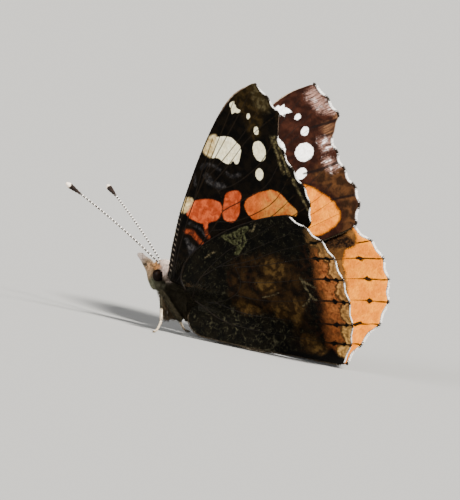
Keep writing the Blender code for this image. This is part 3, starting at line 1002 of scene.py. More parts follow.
def forewing_upper_look():
    look, shade, shader = new_look("forewing_upper_scales")
    place = shade.attribute("wing_place", "Vector")
    ground = two_tone(shade, place, colour(0.008, 0.0022, 0.0011), colour(0.021, 0.0062, 0.0031), 0.8)
    brown = two_tone(shade, place, colour(0.012, 0.005, 0.0018), colour(0.045, 0.018, 0.006), 1.0)
    maroon = two_tone(shade, place, colour(0.02, 0.007, 0.0025), colour(0.05, 0.019, 0.006), 1.0)
    white = two_tone(shade, place, colour(0.88, 0.86, 0.82), colour(0.97, 0.96, 0.93), 1.5)
    orange = two_tone(shade, place, colour(0.47, 0.12, 0.001), colour(0.62, 0.19, 0.002), 0.8)
    paint = painted(shade, place, ground, (
        ("brown_upper", brown, 1.2, 1.6),
        ("maroon_upper", maroon, 1.5, 2.0),
        ("orange_upper", orange, 0.6, 0.5),
        ("white_upper", white, 0.35, 0.12),
    ))
    # Painted sheen in the patches near the margin: pinkish strokes along the veins, with whiter painted highlights that
    # fade close to the tip.
    strokes = vein_strokes(shade, place, 0.36, 0.62)
    sheen = shade.mix(strokes, colour(0.03, 0.014, 0.01), colour(0.21, 0.12, 0.095))
    bright = shade.math("MULTIPLY", shade.step(shade.noise(place, 1.5, 3.0), 0.5, 0.66), strokes)
    near_tip = shade.step(shade.parts(place)["Y"], 23.4, 24.6)
    bright = shade.math("MULTIPLY", bright, shade.math("MULTIPLY_ADD", near_tip, -0.7, 1.0))
    sheen = shade.mix(bright, sheen, colour(0.8, 0.7, 0.68))
    paint = shade.mix(edge_mask(shade, place, shade.attribute("sheen_upper"), 1.8, 0.8), paint, sheen)
    tan = shade.mix(strokes, colour(0.03, 0.012, 0.006), colour(0.1, 0.048, 0.023))
    paint = shade.mix(edge_mask(shade, place, shade.attribute("tan_upper"), 1.4, 0.8), paint, tan)
    streak = edge_mask(shade, place, shade.attribute("streak_upper"), 0.2, 0.16)
    paint = shade.mix(shade.math("MULTIPLY", streak, 0.9), paint, colour(0.004, 0.0018, 0.0014))
    scaled_finish(shade, shader, place, paint)
    return look


def vein_marks(shade, place, half_width, centre, reach):
    """Dark ragged spots on the veins, with their middle at a distance from the margin."""
    across = shade.math("DIVIDE", shade.attribute("to_vein"), half_width)
    off = shade.math("ABSOLUTE", shade.math("SUBTRACT", shade.attribute("to_margin"), centre))
    total = shade.math("ADD", across, shade.math("DIVIDE", off, reach))
    total = shade.math("MULTIPLY_ADD", shade.noise(place, 3.4, 3.0), 1.3, total)
    return shade.math("SUBTRACT", 1.0, shade.step(total, 1.3, 1.8))


def hindwing_under_look():
    look, shade, shader = new_look("hindwing_under_scales")
    place = shade.attribute("wing_place", "Vector")
    ground = two_tone(shade, place, colour(0.0008, 0.0007, 0.0004), colour(0.003, 0.0023, 0.001), 0.7, 0.4, 0.7)
    olive = two_tone(shade, place, colour(0.003, 0.003, 0.0015), colour(0.026, 0.024, 0.013), 2.2)
    dark = colour(0.0012, 0.0009, 0.0006)
    dusk = two_tone(shade, place, dark, colour(0.009, 0.0034, 0.0012), 1.4)
    patches = shade.step(shade.noise(place, 0.5, 1.0), 0.4, 0.62)
    specks = shade.step(shade.noise(place, 2.6, 4.0, 0.8), 0.53, 0.66)
    specks = shade.math("MULTIPLY", specks, patches)
    loops = shade.group(SQUIGGLE, Place=place, Scale=0.7, Width=0.022)["Mask"]
    ground = shade.mix(shade.math("MULTIPLY", specks, 0.4), ground, olive)
    ground = shade.mix(shade.math("MULTIPLY", loops, 0.75), ground, olive)
    pale = two_tone(shade, place, colour(0.004, 0.0037, 0.0019), colour(0.038, 0.034, 0.019), 1.1, 0.42, 0.66)
    bark = shade.cells(shade.warped(place, 0.9, 1.6), 0.95, "DISTANCE_TO_EDGE")
    bark = shade.math("SUBTRACT", 1.0, shade.step(bark, 0.02, 0.11))
    broken = shade.step(shade.noise(place, 1.3, 3.0), 0.44, 0.58)
    specks = shade.math("MULTIPLY", specks, 0.45)
    bark = shade.math("MAXIMUM", shade.math("MULTIPLY", bark, broken), specks)
    mottle = edge_mask(shade, place, shade.attribute("mottle_under"), 1.8, 1.2)
    ground = shade.mix(shade.math("MULTIPLY", mottle, shade.math("MULTIPLY", bark, 0.8)), ground, pale)
    brown = two_tone(shade, place, colour(0.0024, 0.0012, 0.0005), colour(0.017, 0.0082, 0.0022), 0.9, 0.35, 0.7)
    ochre = two_tone(shade, place, colour(0.012, 0.006, 0.0016), colour(0.055, 0.03, 0.008), 1.3)
    line = two_tone(shade, place, colour(0.008, 0.0065, 0.0028), colour(0.08, 0.065, 0.034), 2.2, 0.36, 0.62)
    paint = painted(shade, place, ground, (
        ("brown_under", brown, 2.2, 1.6),
        ("ochre_under", ochre, 1.6, 1.1),
        ("dark_under", dusk, 0.9, 0.7),
        ("line_under", line, 0.5, 0.22),
    ))
    paint = shade.mix(shade.math("MULTIPLY", loops, 0.35), paint, olive)
    depth = shade.attribute("triangle_under")
    triangle = edge_mask(shade, place, depth, 0.4, 0.12)
    dots = shade.step(shade.noise(place, 2.6, 2.0), 0.5, 0.56)
    hollow = shade.math("MULTIPLY", shade.step(depth, 0.22, 0.4), dots)
    green = two_tone(shade, place, colour(0.013, 0.0135, 0.005), colour(0.045, 0.046, 0.021), 2.5)
    triangle = shade.math("MULTIPLY", triangle, shade.math("SUBTRACT", 1.0, hollow))
    paint = shade.mix(triangle, paint, green)
    paint = hindwing_band(shade, place, paint, dark)
    scaled_finish(shade, shader, place, paint)
    return look


def hindwing_band(shade, place, paint, dark):
    """The rusty band inside the margin, buff along its outer half and cut by the veins."""
    margin = shade.attribute("to_margin")
    height = shade.parts(place)["Y"]
    streaks = brushed(shade, 0.34, 0.66, 15.0)
    rust = two_tone(shade, place, colour(0.07, 0.018, 0.005), colour(0.24, 0.07, 0.019), 2.6, 0.3, 0.62)
    rust = shade.mix(shade.math("MULTIPLY", streaks, 0.4), rust, colour(0.38, 0.14, 0.036))
    # Lower down the rust turns darker and the buff lighter; the lighter buff is painted light on the curled lower
    # margin.
    low_down = shade.math("SUBTRACT", 1.0, shade.step(height, -1.5, 3.5))
    rust = shade.mix(shade.math("MULTIPLY", low_down, 0.55), rust, colour(0.085, 0.022, 0.006))
    ragged = shade.math("MULTIPLY_ADD", shade.noise(place, 1.7, 3.0), -1.2, shade.attribute("band_under"))
    inner_side = shade.math("SUBTRACT", 1.0, shade.step(ragged, -0.5, 0.9))
    rust = shade.mix(shade.math("MULTIPLY", inner_side, 0.75), rust, colour(0.03, 0.01, 0.003))
    buff = two_tone(shade, place, colour(0.2, 0.09, 0.026), colour(0.46, 0.23, 0.07), 1.6, 0.3, 0.6)
    buff = shade.mix(shade.math("MULTIPLY", low_down, 0.5), buff, colour(0.72, 0.42, 0.12))
    buff = shade.mix(shade.math("MULTIPLY", streaks, 0.45), buff, colour(0.11, 0.05, 0.014))
    arch = shade.math("MULTIPLY", shade.math("PINGPONG", shade.attribute("cell"), 0.5), 1.3)
    wavy = shade.math("MULTIPLY_ADD", shade.noise(place, 1.8, 3.0), 1.1, shade.math("SUBTRACT", margin, arch))
    band = shade.mix(shade.step(wavy, 1.2, 1.7), buff, rust)
    for centre, strength in ((1.45, 0.85), (0.7, 0.55)):
        off = shade.math("ABSOLUTE", shade.math("SUBTRACT", wavy, centre))
        split = shade.math("SUBTRACT", 1.0, shade.step(off, 0.06, 0.26))
        band = shade.mix(shade.math("MULTIPLY", split, strength), band, colour(0.03, 0.011, 0.003))
    blots = shade.step(shade.noise(place, 1.2, 5.0, 0.4), 0.46, 0.7)
    band = shade.mix(shade.math("MULTIPLY", blots, 0.7), band, colour(0.035, 0.014, 0.004))
    top = shade.step(height, 8.0, 10.4)
    band = shade.mix(shade.math("MULTIPLY", top, 0.8), band, colour(0.03, 0.019, 0.007))
    mask = edge_mask(shade, place, shade.attribute("band_under"), 1.5, 1.0)
    paint = shade.mix(mask, paint, band)
    veins = shade.math("MULTIPLY", vein_mask(shade, 0.11), mask)
    paint = shade.mix(veins, paint, colour(0.004, 0.0015, 0.0008))
    for half_width, centre, reach in ((0.46, 2.1, 0.66), (0.38, 0.85, 0.46)):
        marks = shade.math("MULTIPLY", vein_marks(shade, place, half_width, centre, reach), mask)
        paint = shade.mix(marks, paint, dark)
    paint = painted(shade, place, paint, (("corner_under", dark, 1.0, 0.5),))
    rim = shade.math("SUBTRACT", 1.0, shade.step(margin, 0.06, 0.26))
    return shade.mix(shade.math("MULTIPLY", rim, 0.85), paint, colour(0.004, 0.002, 0.001))


def hindwing_upper_look():
    look, shade, shader = new_look("hindwing_upper_scales")
    place = shade.attribute("wing_place", "Vector")
    # The ground is the wing's dark brown, painted darker away from the orange band as painted shade from the forewing,
    # and lighter brown near the band.
    ground = two_tone(shade, place, colour(0.015, 0.006, 0.002), colour(0.033, 0.014, 0.004), 0.8)
    light_brown = two_tone(shade, place, colour(0.05, 0.021, 0.005), colour(0.11, 0.048, 0.012), 0.8)
    near_orange = shade.step(shade.attribute("orange_upper"), -2.4, -0.6)
    ground = shade.mix(near_orange, ground, light_brown)
    dark = colour(0.003, 0.002, 0.0012)
    dusk = two_tone(shade, place, colour(0.003, 0.0015, 0.0008), colour(0.03, 0.013, 0.004), 2.4)
    orange = two_tone(shade, place, colour(0.48, 0.13, 0.001), colour(0.6, 0.19, 0.002), 0.7)
    paint = painted(shade, place, ground, (
        ("dark_upper", dusk, 1.2, 0.7),
        ("orange_upper", orange, 0.9, 0.5),
    ))
    mask = edge_mask(shade, place, shade.attribute("orange_upper"), 0.9, 0.5)
    spots = vein_marks(shade, place, 0.42, 2.1, 0.62)
    paint = shade.mix(shade.math("MULTIPLY", spots, mask), paint, dark)
    near_margin = shade.math("SUBTRACT", 1.0, shade.step(shade.attribute("to_margin"), 1.6, 4.4))
    veins = shade.math("MULTIPLY", shade.math("MULTIPLY", vein_mask(shade, 0.1), mask), near_margin)
    paint = shade.mix(veins, paint, colour(0.018, 0.0055, 0.0014))
    blue = two_tone(shade, place, colour(0.04, 0.07, 0.22), colour(0.15, 0.21, 0.45), 3.0)
    paint = painted(shade, place, paint, (("blue_upper", blue, 0.4, 0.2),))
    scaled_finish(shade, shader, place, paint)
    return look


def wing_rim_look():
    look, shade, shader = new_look("wing_rim")
    place = shade.attribute("wing_place", "Vector")
    paint = two_tone(shade, place, colour(0.0025, 0.0018, 0.0012), colour(0.009, 0.005, 0.0025), 2.0)
    shade.feed(shader.inputs["Base Color"], paint)
    return look


def vein_look(name, dark, light):
    look, shade, shader = new_look(name, 0.5, 0.08)
    place = shade.add("ShaderNodeTexCoord").outputs["Object"]
    paint = two_tone(shade, place, colour(*dark), colour(*light), 1500.0)
    shade.feed(shader.inputs["Base Color"], paint)
    bumped(shade, shader, shade.noise(place, 9000.0, 2.0), 0.00003)
    return look


def costa_look():
    look, shade, shader = new_look("forewing_costa", 0.5, 0.08)
    place = shade.add("ShaderNodeTexCoord").outputs["Object"]
    dark = two_tone(shade, place, colour(0.0012, 0.0008, 0.0005), colour(0.0035, 0.002, 0.0012), 1500.0)
    pale = two_tone(shade, place, colour(0.12, 0.07, 0.04), colour(0.36, 0.27, 0.19), 2500.0)
    # Pale towards the tip: a painted highlight where the front edge catches the light.
    towards_tip = shade.step(shade.attribute("station"), 0.74, 0.86)
    shade.feed(shader.inputs["Base Color"], shade.mix(towards_tip, dark, pale))
    bumped(shade, shader, shade.noise(place, 9000.0, 2.0), 0.00003)
    return look


def coat_look():
    look, shade, shader = new_look("coat_hair", 0.5, 0.08)
    shade.feed(shader.inputs["Base Color"], shade.attribute("coat_colour", "Color"))
    return look


def skin_look():
    look, shade, shader = new_look("skin", 0.75, 0.06)
    place = shade.add("ShaderNodeTexCoord").outputs["Object"]
    speck = shade.math("MULTIPLY_ADD", shade.noise(place, 9000.0, 3.0), 0.8, 0.35)
    node = shade.add("ShaderNodeVectorMath", operation="SCALE")
    shade.feed(node.inputs[0], shade.attribute("coat_colour", "Color"))
    shade.feed(node.inputs["Scale"], speck)
    shade.feed(shader.inputs["Base Color"], node.outputs[0])
    streaks = shade.noise(shade.stretched(place, (2500.0, 9000.0, 9000.0)), 1.0, 3.0)
    bumped(shade, shader, streaks, 0.00006)
    return look


def eye_look():
    look, shade, shader = new_look("eye_facets", 0.35, 0.03)
    place = shade.add("ShaderNodeTexCoord").outputs["Object"]
    blotch = shade.step(shade.noise(place, 1600.0, 1.0), 0.45, 0.65)
    paint = shade.mix(blotch, colour(0.003, 0.0012, 0.0006), colour(0.011, 0.004, 0.0015))
    facet = shade.cells(place, 26000.0)
    ring = shade.step(facet, 0.3, 0.6)
    paint = shade.mix(shade.math("MULTIPLY", ring, 0.6), paint, colour(0.004, 0.002, 0.001))
    shade.feed(shader.inputs["Base Color"], paint)
    shader.inputs["Coat Weight"].default_value = 0.03
    shader.inputs["Coat Roughness"].default_value = 0.12
    bumped(shade, shader, shade.math("SUBTRACT", 1.0, facet), 0.000012, 0.5)
    return look


def antenna_look():
    look, shade, shader = new_look("antenna_rings", 0.5, 0.08)
    place = shade.add("ShaderNodeTexCoord").outputs["Object"]
    phase = shade.attribute("segment_phase")
    share = shade.attribute("antenna_share")
    dark = two_tone(shade, place, colour(0.006, 0.004, 0.003), colour(0.02, 0.012, 0.009), 3000.0)
    ragged = shade.math("MULTIPLY_ADD", shade.noise(place, 7000.0, 2.0), 0.2, phase)
    start = shade.step(ragged, 0.38, 0.48)
    end = shade.math("SUBTRACT", 1.0, shade.step(ragged, 0.68, 0.78))
    on_shaft = shade.math("SUBTRACT", 1.0, shade.step(share, 0.84, 0.86))
    ring = shade.math("MULTIPLY", shade.math("MULTIPLY", start, end), on_shaft)
    paint = shade.mix(ring, dark, colour(0.92, 0.88, 0.82))
    wobble = shade.math("MULTIPLY_ADD", shade.noise(place, 5000.0, 2.0), 0.02, share)
    tip = shade.step(wobble, 0.968, 0.98)
    paint = shade.mix(tip, paint, colour(0.8, 0.68, 0.56))
    shade.feed(shader.inputs["Base Color"], paint)
    bumped(shade, shader, shade.cells(place, 22000.0), 0.00002, 0.5)
    return look


def leg_look():
    look, shade, shader = new_look("leg_scales", 0.55, 0.08)
    place = shade.add("ShaderNodeTexCoord").outputs["Object"]
    share = shade.attribute("leg_pale")
    ragged = shade.math("MULTIPLY_ADD", shade.noise(place, 5000.0, 3.0), 0.4, share)
    dark = two_tone(shade, place, colour(0.006, 0.0045, 0.0025), colour(0.026, 0.02, 0.01), 2600.0)
    pale = two_tone(shade, place, colour(0.34, 0.26, 0.16), colour(0.64, 0.54, 0.4), 2600.0)
    paint = shade.mix(shade.step(ragged, 0.6, 0.8), dark, pale)
    ring = shade.attribute("leg_joint")
    paint = shade.mix(shade.step(ring, 0.5, 0.9), paint, colour(0.07, 0.04, 0.02))
    shade.feed(shader.inputs["Base Color"], paint)
    bumped(shade, shader, shade.cells(place, 15000.0), 0.00002, 0.5)
    return look


def claw_look():
    look, shade, shader = new_look("claw", 0.3, 0.4)
    place = shade.add("ShaderNodeTexCoord").outputs["Object"]
    paint = two_tone(shade, place, colour(0.02, 0.01, 0.005), colour(0.08, 0.035, 0.015), 4000.0)
    shade.feed(shader.inputs["Base Color"], paint)
    return look


def floor_look():
    look, shade, shader = new_look("floor_paper", 0.85)
    shader.inputs["Base Color"].default_value = colour(0.3, 0.3, 0.293)
    return look


LOOKS = {
    "fore": (forewing_under_look(), forewing_upper_look()),
    "hind": (hindwing_under_look(), hindwing_upper_look()),
    "rim": wing_rim_look(),
    "vein": {
        "fore": vein_look("forewing_vein", (0.0012, 0.0008, 0.0005), (0.0035, 0.002, 0.0012)),
        "hind": vein_look("hindwing_vein", (0.002, 0.0012, 0.0006), (0.006, 0.0035, 0.0015)),
    },
    "costa": costa_look(),
    "coat": coat_look(),
    "skin": skin_look(),
    "eye": eye_look(),
    "antenna": antenna_look(),
    "leg": leg_look(),
    "claw": claw_look(),
}


# Tufts

def tuft_mesh(name, roots, ahead, upward, length, width, paint, spots, droop=0.15, flat=0.35, root_shade=0.55):
    """One closed sliver for each root, lying ahead and drooping from its upward side.

    paint holds a colour for each sliver, and spots its place on the bake's map.
    """
    count = len(roots)
    across = unit(np.cross(ahead, upward))
    upward = np.cross(across, ahead)
    stations = ((0.0, 0.75), (0.55, 1.0))
    corners = ((-0.5, 0.0), (0.5, 0.0), (0.0, flat))
    points = np.empty((count, 7, 3))
    for i, (share, wide) in enumerate(stations):
        middle = roots + ahead * (length * share)[:, None]
        middle = middle - upward * (length * droop * share**2)[:, None]
        for j, (sideways, high) in enumerate(corners):
            shift = across * (width * wide * sideways)[:, None] + upward * (width * wide * high)[:, None]
            points[:, 3 * i + j] = middle + shift
    points[:, 6] = roots + ahead * length[:, None] - upward * (length * droop)[:, None]
    quads = np.array([(1, 0, 3, 4), (2, 1, 4, 5), (0, 2, 5, 3)])
    triangles = np.array([(0, 1, 2), (4, 3, 6), (5, 4, 6), (3, 5, 6)])
    base = 7 * np.arange(count)[:, None]
    corner_ids = np.concatenate([
        (base + quads.ravel()).ravel(),
        (base + triangles.ravel()).ravel(),
    ])
    sizes = np.concatenate([np.full(3 * count, 4), np.full(4 * count, 3)])
    starts = np.concatenate([[0], np.cumsum(sizes)[:-1]])
    mesh = bpy.data.meshes.new(name)
    mesh.vertices.add(7 * count)
    mesh.loops.add(len(corner_ids))
    mesh.polygons.add(len(sizes))
    mesh.vertices.foreach_set("co", points.astype(np.float32).ravel())
    mesh.loops.foreach_set("vertex_index", corner_ids.astype(np.int32))
    mesh.polygons.foreach_set("loop_start", starts.astype(np.int32))
    mesh.update(calc_edges=True)
    tints = np.ones((count, 7, 4))
    tints[:, :, :3] = paint[:, None, :]
    tints[:, :3, :3] *= np.broadcast_to(root_shade, count)[:, None, None]
    tints[:, 6, :3] *= TIP_SHADE
    write_values(mesh, "coat_colour", tints.reshape(-1, 4))
    patch = 0.0015
    shifts = np.array([(-1, -1), (1, -1), (0, -1), (-1, 0), (1, 0), (0, 0), (0, 1)]) * patch
    map_places = (spots[:, None, :] + shifts[None]).reshape(-1, 2)
    layer = mesh.uv_layers.new(name="OFBake")
    layer.data.foreach_set("uv", map_places[corner_ids].astype(np.float32).ravel())
    mesh.materials.append(LOOKS["coat"])
    piece = bpy.data.objects.new(name, mesh)
    bpy.context.scene.collection.objects.link(piece)
    return piece


# Wings

def wing_spots(flat, upper):
    """Places on the bake's map: the underside on its left half, the upper side on its right."""
    low = np.array([-2.6, -6.2])
    span = 37.0
    spots = (flat - low) / span
    spots[:, 0] = spots[:, 0] * 0.6
    spots[:, 0] += np.where(upper, 0.5, 0.02)
    return spots


def wing_membrane(name, kind, side, plan):
    """The wing's sheet: a grid shaped to the outline, pleated between the veins and thickened."""
    select_nothing()
    bpy.ops.mesh.primitive_grid_add(x_subdivisions=WING_COLUMNS, y_subdivisions=WING_ROWS, size=2.0)
    piece = bpy.context.object
    mesh = piece.data
    for layer in list(mesh.uv_layers):
        mesh.uv_layers.remove(layer)
    grid = read_points(mesh)
    across = (grid[:, 0] + 1) / 2
    reach = (grid[:, 1] + 1) / 2
    flat = plan.flat(across, reach)
    if kind not in MEASURED:
        MEASURED[kind] = plan.measure(flat)
    found = MEASURED[kind]
    pleat = PLEAT * (1 - np.exp(-((found["to_vein"] / 0.7) ** 2)))
    places, _ = wing_places(plan.rule, side, flat, -pleat)
    write_points(mesh, places)
    write_values(mesh, "wing_place", np.column_stack([flat, np.zeros(len(flat))]))
    for label, values in found.items():
        write_values(mesh, label, values)
    wall = piece.modifiers.new("wall", "SOLIDIFY")
    wall.thickness = WALL
    wall.offset = 0.0
    apply_modifier(piece, wall)
    face_outward(piece)
    paint_sides(mesh, kind, side, plan)
    return settle(piece, name + "_membrane", [name])


def paint_sides(mesh, kind, side, plan):
    """Gives each face its side's material and its place on the bake's map."""
    flat3 = np.empty(len(mesh.vertices) * 3, np.float32)
    mesh.attributes["wing_place"].data.foreach_get("vector", flat3)
    flat = flat3.reshape(-1, 3)[:, :2].astype(float)
    normals = np.empty(len(mesh.polygons) * 3)
    mesh.polygons.foreach_get("normal", normals)
    normals = normals.reshape(-1, 3)
    corner = np.empty(len(mesh.loops), np.int32)
    mesh.loops.foreach_get("vertex_index", corner)
    first = np.empty(len(mesh.polygons), np.int32)
    mesh.polygons.foreach_get("loop_start", first)
    totals = np.empty(len(mesh.polygons), np.int32)
    mesh.polygons.foreach_get("loop_total", totals)
    _, under = wing_places(plan.rule, side, flat[corner[first]])
    facing = np.sum(normals * under, axis=1)
    index = np.where(facing > 0.4, 0, np.where(facing < -0.4, 1, 2))
    for look in (*LOOKS[kind], LOOKS["rim"]):
        mesh.materials.append(look)
    mesh.polygons.foreach_set("material_index", index.astype(np.int32))
    upper = np.repeat(index == 1, totals)
    layer = mesh.uv_layers.new(name="OFBake")
    layer.data.foreach_set("uv", wing_spots(flat[corner], upper).astype(np.float32).ravel())


def drawn_ball(line, sides):
    """A ball drawn out along a line of stations: along, out, height, half width, half height."""
    select_nothing()
    rings = len(line) + 1
    bpy.ops.mesh.primitive_uv_sphere_add(segments=sides, ring_count=rings, radius=1.0)
    piece = bpy.context.object
    mesh = piece.data
    for layer in list(mesh.uv_layers):
        mesh.uv_layers.remove(layer)
    ball = read_points(mesh)
    ring = np.rint(np.arccos(np.clip(ball[:, 2], -1, 1)) / math.pi * rings).astype(int)
    turn = np.arctan2(ball[:, 1], ball[:, 0])
    centres = line[:, :3]
    ahead = unit(np.gradient(centres, axis=0))
    across = np.empty_like(ahead)
    start = np.cross(ahead[0], (0, 0, 1))
    if np.linalg.norm(start) < 1e-3:
        start = np.array([0.0, 1.0, 0.0])
    for i, forward in enumerate(ahead):
        start = unit(start - forward * np.dot(start, forward))
        across[i] = start
    upward = np.cross(ahead, across)
    station = np.clip(ring - 1, 0, len(line) - 1)
    radius = line[station, 3:5]
    places = centres[station] + across[station] * (radius[:, :1] * np.cos(turn)[:, None])
    places = places + upward[station] * (radius[:, 1:2] * np.sin(turn)[:, None])
    for pole, end, sign in ((0, 0, -1), (rings, -1, 1)):
        places[ring == pole] = centres[end] + ahead[end] * sign * line[end, 3:5].mean() * 0.5
    write_points(mesh, places)
    write_values(mesh, "station", station / (len(line) - 1))
    face_outward(piece)
    return piece


def round_line(path, steps, side=1, shrink=0.0):
    """Stations of a round limb: along, out, height and the radius twice."""
    line = curve_through(path, steps)
    line[:, 1] *= side
    radius = np.maximum(line[:, 3] - shrink, 0.06)
    return np.column_stack([line[:, :3], radius, radius])


def vein_tubes(name, kind, side, plan):
    """The veins as fine closed tubes that stand a little out of both sides of the wing."""
    tubes = []
    for number, flat in enumerate([plan.costa, *plan.veins]):
        flat = at_shares(flat, np.linspace(0, 1, max(12, int(run_of(flat)[-1] / 0.45))))
        places, _ = wing_places(plan.rule, side, flat, 0.0)
        reach = run_of(flat)
        thick = 0.072 + 0.055 * np.exp(-np.linalg.norm(flat - plan.root[0], axis=1) / 6.0)
        if number == 0:
            thick = thick + 0.02
        fade = np.clip((reach[-1] - reach) / 2.5, 0.35, 1.0)
        tube = drawn_ball(np.column_stack([places, thick * fade, thick * fade]), 8)
        on_front_edge = kind == "fore" and number == 0
        tube.data.materials.append(LOOKS["costa"] if on_front_edge else LOOKS["vein"][kind])
        tubes.append(tube)
    piece = join(tubes)
    return settle(piece, name)


def margin_vanes(rng, plan, kind, side):
    """The fringe: white between the veins, dark at their ends, and short behind the corner, where painted shade darkens
    its white to brown.
    """
    count = int(3600 * FEW)
    share = rng.uniform(0, 1, count)
    layer = rng.integers(0, 3, count)
    edge = at_shares(plan.membrane, share)
    inward = at_shares_of(plan.inward, share)
    flat = edge + inward * (0.06 + 0.04 * layer)[:, None]
    sway = rng.normal(0, 0.16, count)
    outward = -inward
    turned = np.column_stack([
        outward[:, 0] * np.cos(sway) - outward[:, 1] * np.sin(sway),
        outward[:, 0] * np.sin(sway) + outward[:, 1] * np.cos(sway),
    ])
    cell = share * SCALLOPS
    dark = np.abs(cell - np.rint(cell)) < FRINGE_DARK[kind] + 0.05 * rng.normal(size=count)
    gap_start, gap_end = FRINGE_GAP[kind]
    in_gap = (cell > gap_start) & (cell < gap_end)
    dark |= rng.uniform(size=count) < 0.06
    white = np.array([0.9, 0.88, 0.84]) * rng.uniform(0.8, 1.05, count)[:, None]
    black = np.array([0.012, 0.008, 0.005]) * rng.uniform(0.6, 1.8, count)[:, None]
    paint = np.where(dark[:, None], black, white)
    # Behind the corner the white is darkened to brown: painted shade.
    paint = np.where(in_gap[:, None], white * (0.16, 0.1, 0.07), paint)
    length = (FRINGE_LENGTH + 0.04 * layer) * rng.uniform(0.7, 1.2, count) * FRINGE_GROWTH[side]
    length = np.where(in_gap, length * GAP_GROWTH, length)
    return flat, turned, length, rng.uniform(0.045, 0.075, count), paint


def at_shares_of(rows, shares):
    """Rows read at shares of their number, and not of their length."""
    where = np.asarray(shares) * (len(rows) - 1)
    return unit(np.column_stack([np.interp(where, np.arange(len(rows)), rows[:, i]) for i in range(2)]))


def costa_vanes(rng, plan):
    """Short black and pale tufts along the front edge of the forewing."""
    count = int(1500 * FEW)
    share = rng.uniform(0.03, 0.9, count)
    flat = at_shares(plan.costa, share)
    ahead = unit(at_shares(plan.costa, np.minimum(share + 0.01, 1.0)) - flat)
    outward = np.column_stack([-ahead[:, 1], ahead[:, 0]])
    lean = rng.uniform(0.35, 0.7, count)[:, None]
    direction = unit(ahead + outward * lean)
    run = share * run_of(plan.costa)[-1]
    pale = (np.mod(run, 0.68) < 0.2) & (run > 1.6) & (run < 8.2)
    pale |= (run > 8.6) & (run < 10.4) & (rng.uniform(size=count) < 0.8)
    pale |= (run > 17.4) & (run < 19.9)
    # Near the tip the pale tufts are a painted highlight along the front edge.
    pale |= (run > 23.0) & (rng.uniform(size=count) < 0.7)
    cream = np.array([0.26, 0.21, 0.13]) * rng.uniform(0.7, 1.1, count)[:, None]
    black = np.array([0.006, 0.0045, 0.003]) * rng.uniform(0.6, 2.0, count)[:, None]
    paint = np.where(pale[:, None], cream, black)
    length = rng.uniform(0.25, 0.42, count) * np.where(run < 9.0, 1.0, 0.6)
    return flat, direction, length, rng.uniform(0.05, 0.08, count), paint


def inner_hairs(rng, plan):
    """Soft short hair along the wing's inner edge."""
    count = int(1500 * FEW)
    share = rng.uniform(0.03, 0.97, count)
    flat = at_shares(plan.back, share)
    ahead = unit(flat - at_shares(plan.back, np.minimum(share + 0.01, 1.0)))
    outward = np.column_stack([ahead[:, 1], -ahead[:, 0]])
    direction = unit(ahead * rng.uniform(0.2, 1.0, count)[:, None] + outward)
    paint = np.array([0.028, 0.02, 0.011]) * rng.uniform(0.4, 1.8, count)[:, None]
    return flat, direction, rng.uniform(0.12, 0.3, count), rng.uniform(0.03, 0.05, count), paint


def base_hairs(rng, plan, count, furthest, tone):
    """Long hairs that lie on the wing near its root, running towards the margin."""
    centre = plan.root.mean(axis=0)
    reach = rng.uniform(0.04, furthest, count)
    across = rng.uniform(0.03, 0.97, count)
    flat = plan.flat(across, reach)
    ahead = unit(flat - centre + rng.normal(0, 0.25, flat.shape))
    paint = np.array(tone) * rng.uniform(0.4, 1.7, count)[:, None]
    return flat, ahead, rng.uniform(0.4, 1.0, count), rng.uniform(0.022, 0.036, count), paint


def wing_coat(name, kind, side, plan, rng):
    """Fringe, edge tufts and root hairs of one wing in one piece."""
    # Each group: its tufts, how they are layered, the side they lie on, rise, droop and root shade.
    groups = []
    tufts = margin_vanes(rng, plan, kind, side)
    groups.append((tufts, rng.choice((-0.05, 0.0, 0.05), len(tufts[0])), 1.0, 0.0, 0.02, 0.2))
    if kind == "fore":
        tufts = costa_vanes(rng, plan)
        groups.append((tufts, rng.uniform(-0.08, 0.08, len(tufts[0])), 1.0, 0.0, 0.05, 0.6))
    tufts = inner_hairs(rng, plan)
    groups.append((tufts, rng.uniform(-0.05, 0.05, len(tufts[0])), 1.0, 0.0, 0.05, 0.6))
    for sign, count, furthest, tone in ROOT_HAIRS[kind]:
        tufts = base_hairs(rng, plan, int(count * FEW), furthest, tone)
        groups.append((tufts, np.full(len(tufts[0]), sign * 0.06), sign, 0.1, 0.1, 0.6))
    rows = {key: [] for key in ("roots", "ahead", "upward", "length", "width", "paint", "spots", "droop", "root_shade")}
    for (flat, direction, length, width, paint), layer, sign, rise, droop, shade in groups:
        places, normals = wing_places(plan.rule, side, flat, layer)
        ahead = flat_to_space(plan.rule, side, flat, direction)
        rows["roots"].append(places)
        rows["ahead"].append(unit(ahead + normals * sign * rise))
        rows["upward"].append(normals * sign)
        rows["length"].append(length)
        rows["width"].append(width)
        rows["paint"].append(paint)
        rows["spots"].append(wing_spots(flat, sign < 0))
        rows["droop"].append(np.full(len(flat), droop))
        rows["root_shade"].append(np.full(len(flat), shade))
    piece = tuft_mesh(name, **{key: np.concatenate(found) for key, found in rows.items()})
    return settle(piece, name)


MEASURED = {}


def make_wings():
    for side, word in ((1, "right"), (-1, "left")):
        for kind, plan in (("fore", FORE), ("hind", HIND)):
            rng = np.random.default_rng(SEED + side + 5 * (kind == "hind"))
            name = f"{kind}wing_{word}"
            wing_membrane(name, kind, side, plan)
            vein_tubes(name + "_veins", kind, side, plan)
            wing_coat(name + "_coat", kind, side, plan, rng)


# Body

def oval_line(stations, steps, grooves=0):
    """Body stations with the coat's depth taken off, and grooves between the rings."""
    line = curve_through(stations, steps)
    share = np.linspace(0, 1, len(line))
    size = np.ones(len(line))
    if grooves:
        size -= RING_GROOVE * (0.5 + 0.5 * np.cos(2 * math.pi * grooves * share)) ** 4
    wide = np.maximum(line[:, 2] * size - COAT_DEPTH, 0.08)
    tall = np.maximum(line[:, 3] * size - COAT_DEPTH, 0.08)
    return np.column_stack([line[:, 0], np.zeros(len(line)), line[:, 1], wide, tall])


